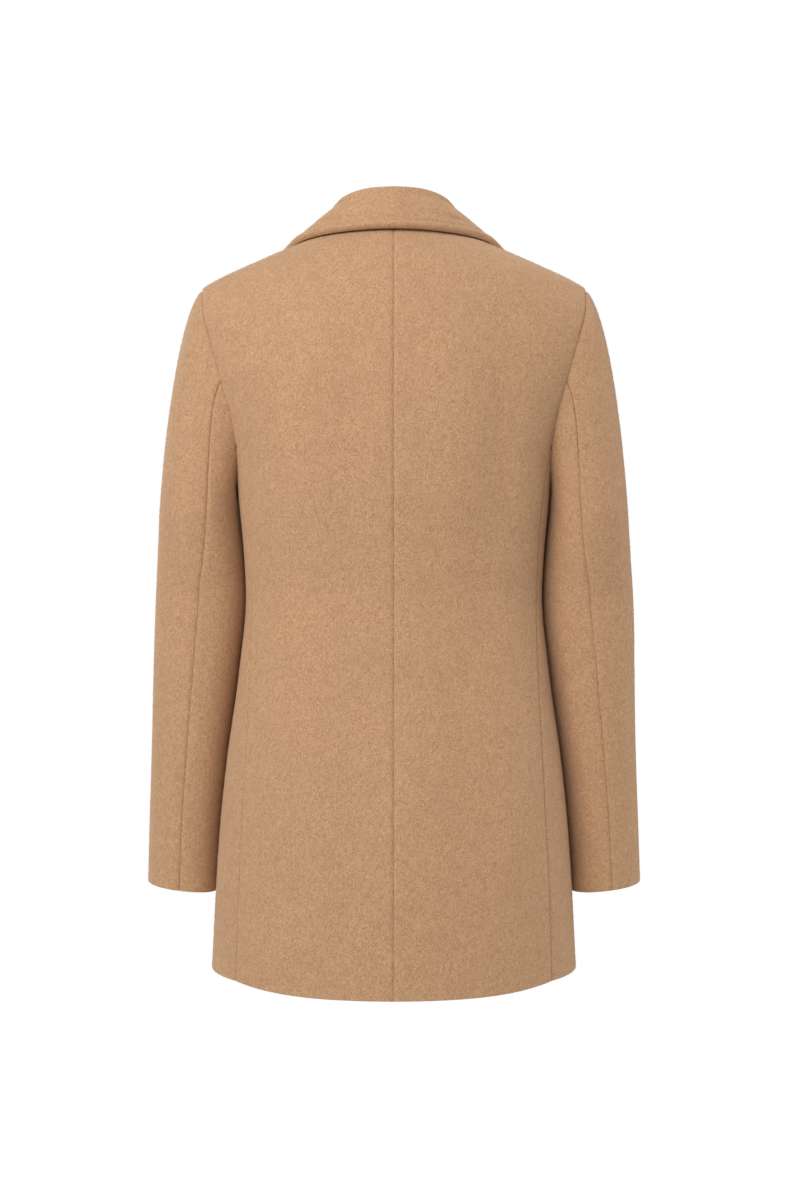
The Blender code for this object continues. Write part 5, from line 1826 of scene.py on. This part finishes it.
class BLAZER_OT_buttons(bpy.types.Operator):
    """Gives the buttons their horn, sews them on and works their buttonholes"""

    bl_idname = "blazer.buttons"
    bl_label = "Buttons and buttonholes"

    def execute(self, context):
        cloth = context.scene.blazer_cloth
        sewing = []
        outlines = []
        for name, height in BUTTON_HEIGHTS.items():
            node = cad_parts[name]
            for slot in node.material_slots:
                slot.material = horn()
            stand = BUTTON_STAND_OFF
            origin, normal = front_place(np.zeros(1), np.array([height]), np.array([stand]))
            origin, normal = origin[0], normal[0]
            sideways = unit(np.cross(np.array((0.0, 0.0, 1.0)), normal))
            up = np.cross(normal, sideways)
            hole = BUTTON_HOLE_SPREAD * cos(pi / 4)
            for level in (-hole, hole):
                for strand in (-1, 0, 1):
                    shift = level + strand * STRAND_PITCH * cloth.thread_radius
                    line = []
                    for part, rise in THREAD_PATH:
                        point = origin + part * hole * sideways + shift * up
                        line.append(point + rise * BUTTON_FACE * normal)
                    sewing.append(line)
            outline = []
            for turn in np.linspace(0, 2 * pi, BUTTONHOLE_STEPS, endpoint=False):
                flat = BUTTONHOLE_LENGTH / 2 - BUTTONHOLE_GAP
                along = flat * np.sign(cos(turn)) + BUTTONHOLE_GAP * cos(turn)
                outline.append((BUTTONHOLE_MIDDLE + along, height + BUTTONHOLE_GAP * sin(turn)))
            outlines.append(np.array(outline))
        values = {"Thread radius": cloth.thread_radius, "Material": thread()}
        piece = made_by_nodes("button_thread", line_mesh("sewing", sewing), thread_tree(), values)
        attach(piece, "root")
        points = []
        normals = []
        edges = []
        for outline in outlines:
            stand = np.full(len(outline), STITCH_STAND_OFF)
            placed, off = front_place(outline[:, 0], outline[:, 1], stand)
            first = len(points)
            points += placed.tolist()
            normals += off.tolist()
            count = len(outline)
            edges += [(first + i, first + (i + 1) % count) for i in range(count)]
        mesh = bpy.data.meshes.new("buttonhole_outline")
        mesh.from_pydata(points, edges, [])
        attribute = mesh.attributes.new("off_cloth", "FLOAT_VECTOR", "POINT")
        attribute.data.foreach_set("vector", np.array(normals).ravel())
        values["Stitch pitch"] = cloth.stitch_pitch
        values["Stitch length"] = cloth.stitch_length
        piece = made_by_nodes("buttonhole_stitches", mesh, purl_tree(), values)
        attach(piece, "root")
        return {"FINISHED"}


class BLAZER_OT_stage(bpy.types.Operator):
    """Makes the pale floor, the soft light and the camera"""

    bl_idname = "blazer.stage"
    bl_label = "Floor, light and camera"

    def execute(self, context):
        scene = context.scene
        stage = scene.blazer_stage
        remove_piece("floor")
        shape = bmesh.new()
        bmesh.ops.create_circle(shape, cap_ends=True, segments=96, radius=FLOOR_RADIUS)
        bmesh.ops.translate(shape, verts=shape.verts, vec=(0, 0, stage.floor_height))
        mesh = bpy.data.meshes.new("floor")
        shape.to_mesh(mesh)
        shape.free()
        mesh.materials.append(floor_paper())
        floor = bpy.data.objects.new("floor", mesh)
        scene.collection.objects.link(floor)
        world = bpy.data.worlds.new("White studio")
        world.use_nodes = True
        tree = world.node_tree
        tree.nodes.clear()
        lit = add_node(tree, "ShaderNodeBackground", {"Strength": stage.room_light})
        seen = add_node(tree, "ShaderNodeBackground", {"Strength": 1.0})
        lit.inputs["Color"].default_value = linear("FFFFFF")
        seen.inputs["Color"].default_value = linear("FFFFFF")
        ray = tree.nodes.new("ShaderNodeLightPath")
        chosen = add_node(
            tree,
            "ShaderNodeMixShader",
            (),
            {0: ray.outputs["Is Camera Ray"], 1: lit.outputs[0], 2: seen.outputs[0]},
        )
        add_node(tree, "ShaderNodeOutputWorld", (), {"Surface": chosen.outputs[0]})
        scene.world = world
        for name, place, size, power in STUDIO_LIGHTS:
            remove_piece(name)
            lamp = bpy.data.lights.new(name, "AREA")
            lamp.size = size
            lamp.energy = stage.key_power * power
            light = bpy.data.objects.new(name, lamp)
            light.location = place
            aim = LIGHT_AIM - Vector(place)
            light.rotation_euler = aim.to_track_quat("-Z", "Y").to_euler()
            scene.collection.objects.link(light)
        remove_piece("camera")
        lens = bpy.data.cameras.new("camera")
        lens.lens = CAMERA_LENS
        camera = bpy.data.objects.new("camera", lens)
        camera.location = CAMERA_PLACE
        camera.rotation_euler = (radians(90), 0, radians(180))
        scene.collection.objects.link(camera)
        scene.camera = camera
        scene.view_settings.view_transform = "Standard"
        return {"FINISHED"}


class BLAZER_PT_sidebar(bpy.types.Panel):
    """The blazer's steps, in order"""

    bl_label = "Wool blazer"
    bl_idname = "BLAZER_PT_sidebar"
    bl_space_type = "VIEW_3D"
    bl_region_type = "UI"
    bl_category = "Blazer"

    def draw(self, context):
        layout = self.layout
        for name in ("grid_step", "fold_amount", "seam_depth", "seam_width"):
            layout.prop(context.scene.blazer_cloth, name)
        for name in ("wool_light", "wool_shade", "wool_cloud"):
            layout.prop(context.scene.blazer_colours, name)
        for name in ("floor_height", "room_light", "key_power"):
            layout.prop(context.scene.blazer_stage, name)
        for step in STEPS:
            layout.operator(step.bl_idname)


STEPS = (
    BLAZER_OT_backs,
    BLAZER_OT_sides,
    BLAZER_OT_fronts,
    BLAZER_OT_lapels,
    BLAZER_OT_collar,
    BLAZER_OT_sleeves,
    BLAZER_OT_buttons,
    BLAZER_OT_stage,
)
SETTINGS = {
    "blazer_cloth": BlazerCloth,
    "blazer_colours": BlazerColours,
    "blazer_stage": BlazerStage,
}


def register():
    for name, group in SETTINGS.items():
        bpy.utils.register_class(group)
        setattr(bpy.types.Scene, name, bpy.props.PointerProperty(type=group))
    for step in STEPS:
        bpy.utils.register_class(step)
    bpy.utils.register_class(BLAZER_PT_sidebar)


def unregister():
    bpy.utils.unregister_class(BLAZER_PT_sidebar)
    for step in reversed(STEPS):
        bpy.utils.unregister_class(step)
    for name, group in SETTINGS.items():
        delattr(bpy.types.Scene, name)
        bpy.utils.unregister_class(group)


def main():
    register()
    for step in STEPS:
        name = step.bl_idname.split(".")[1]
        getattr(bpy.ops.blazer, name)()


if __name__ == "__main__":
    main()
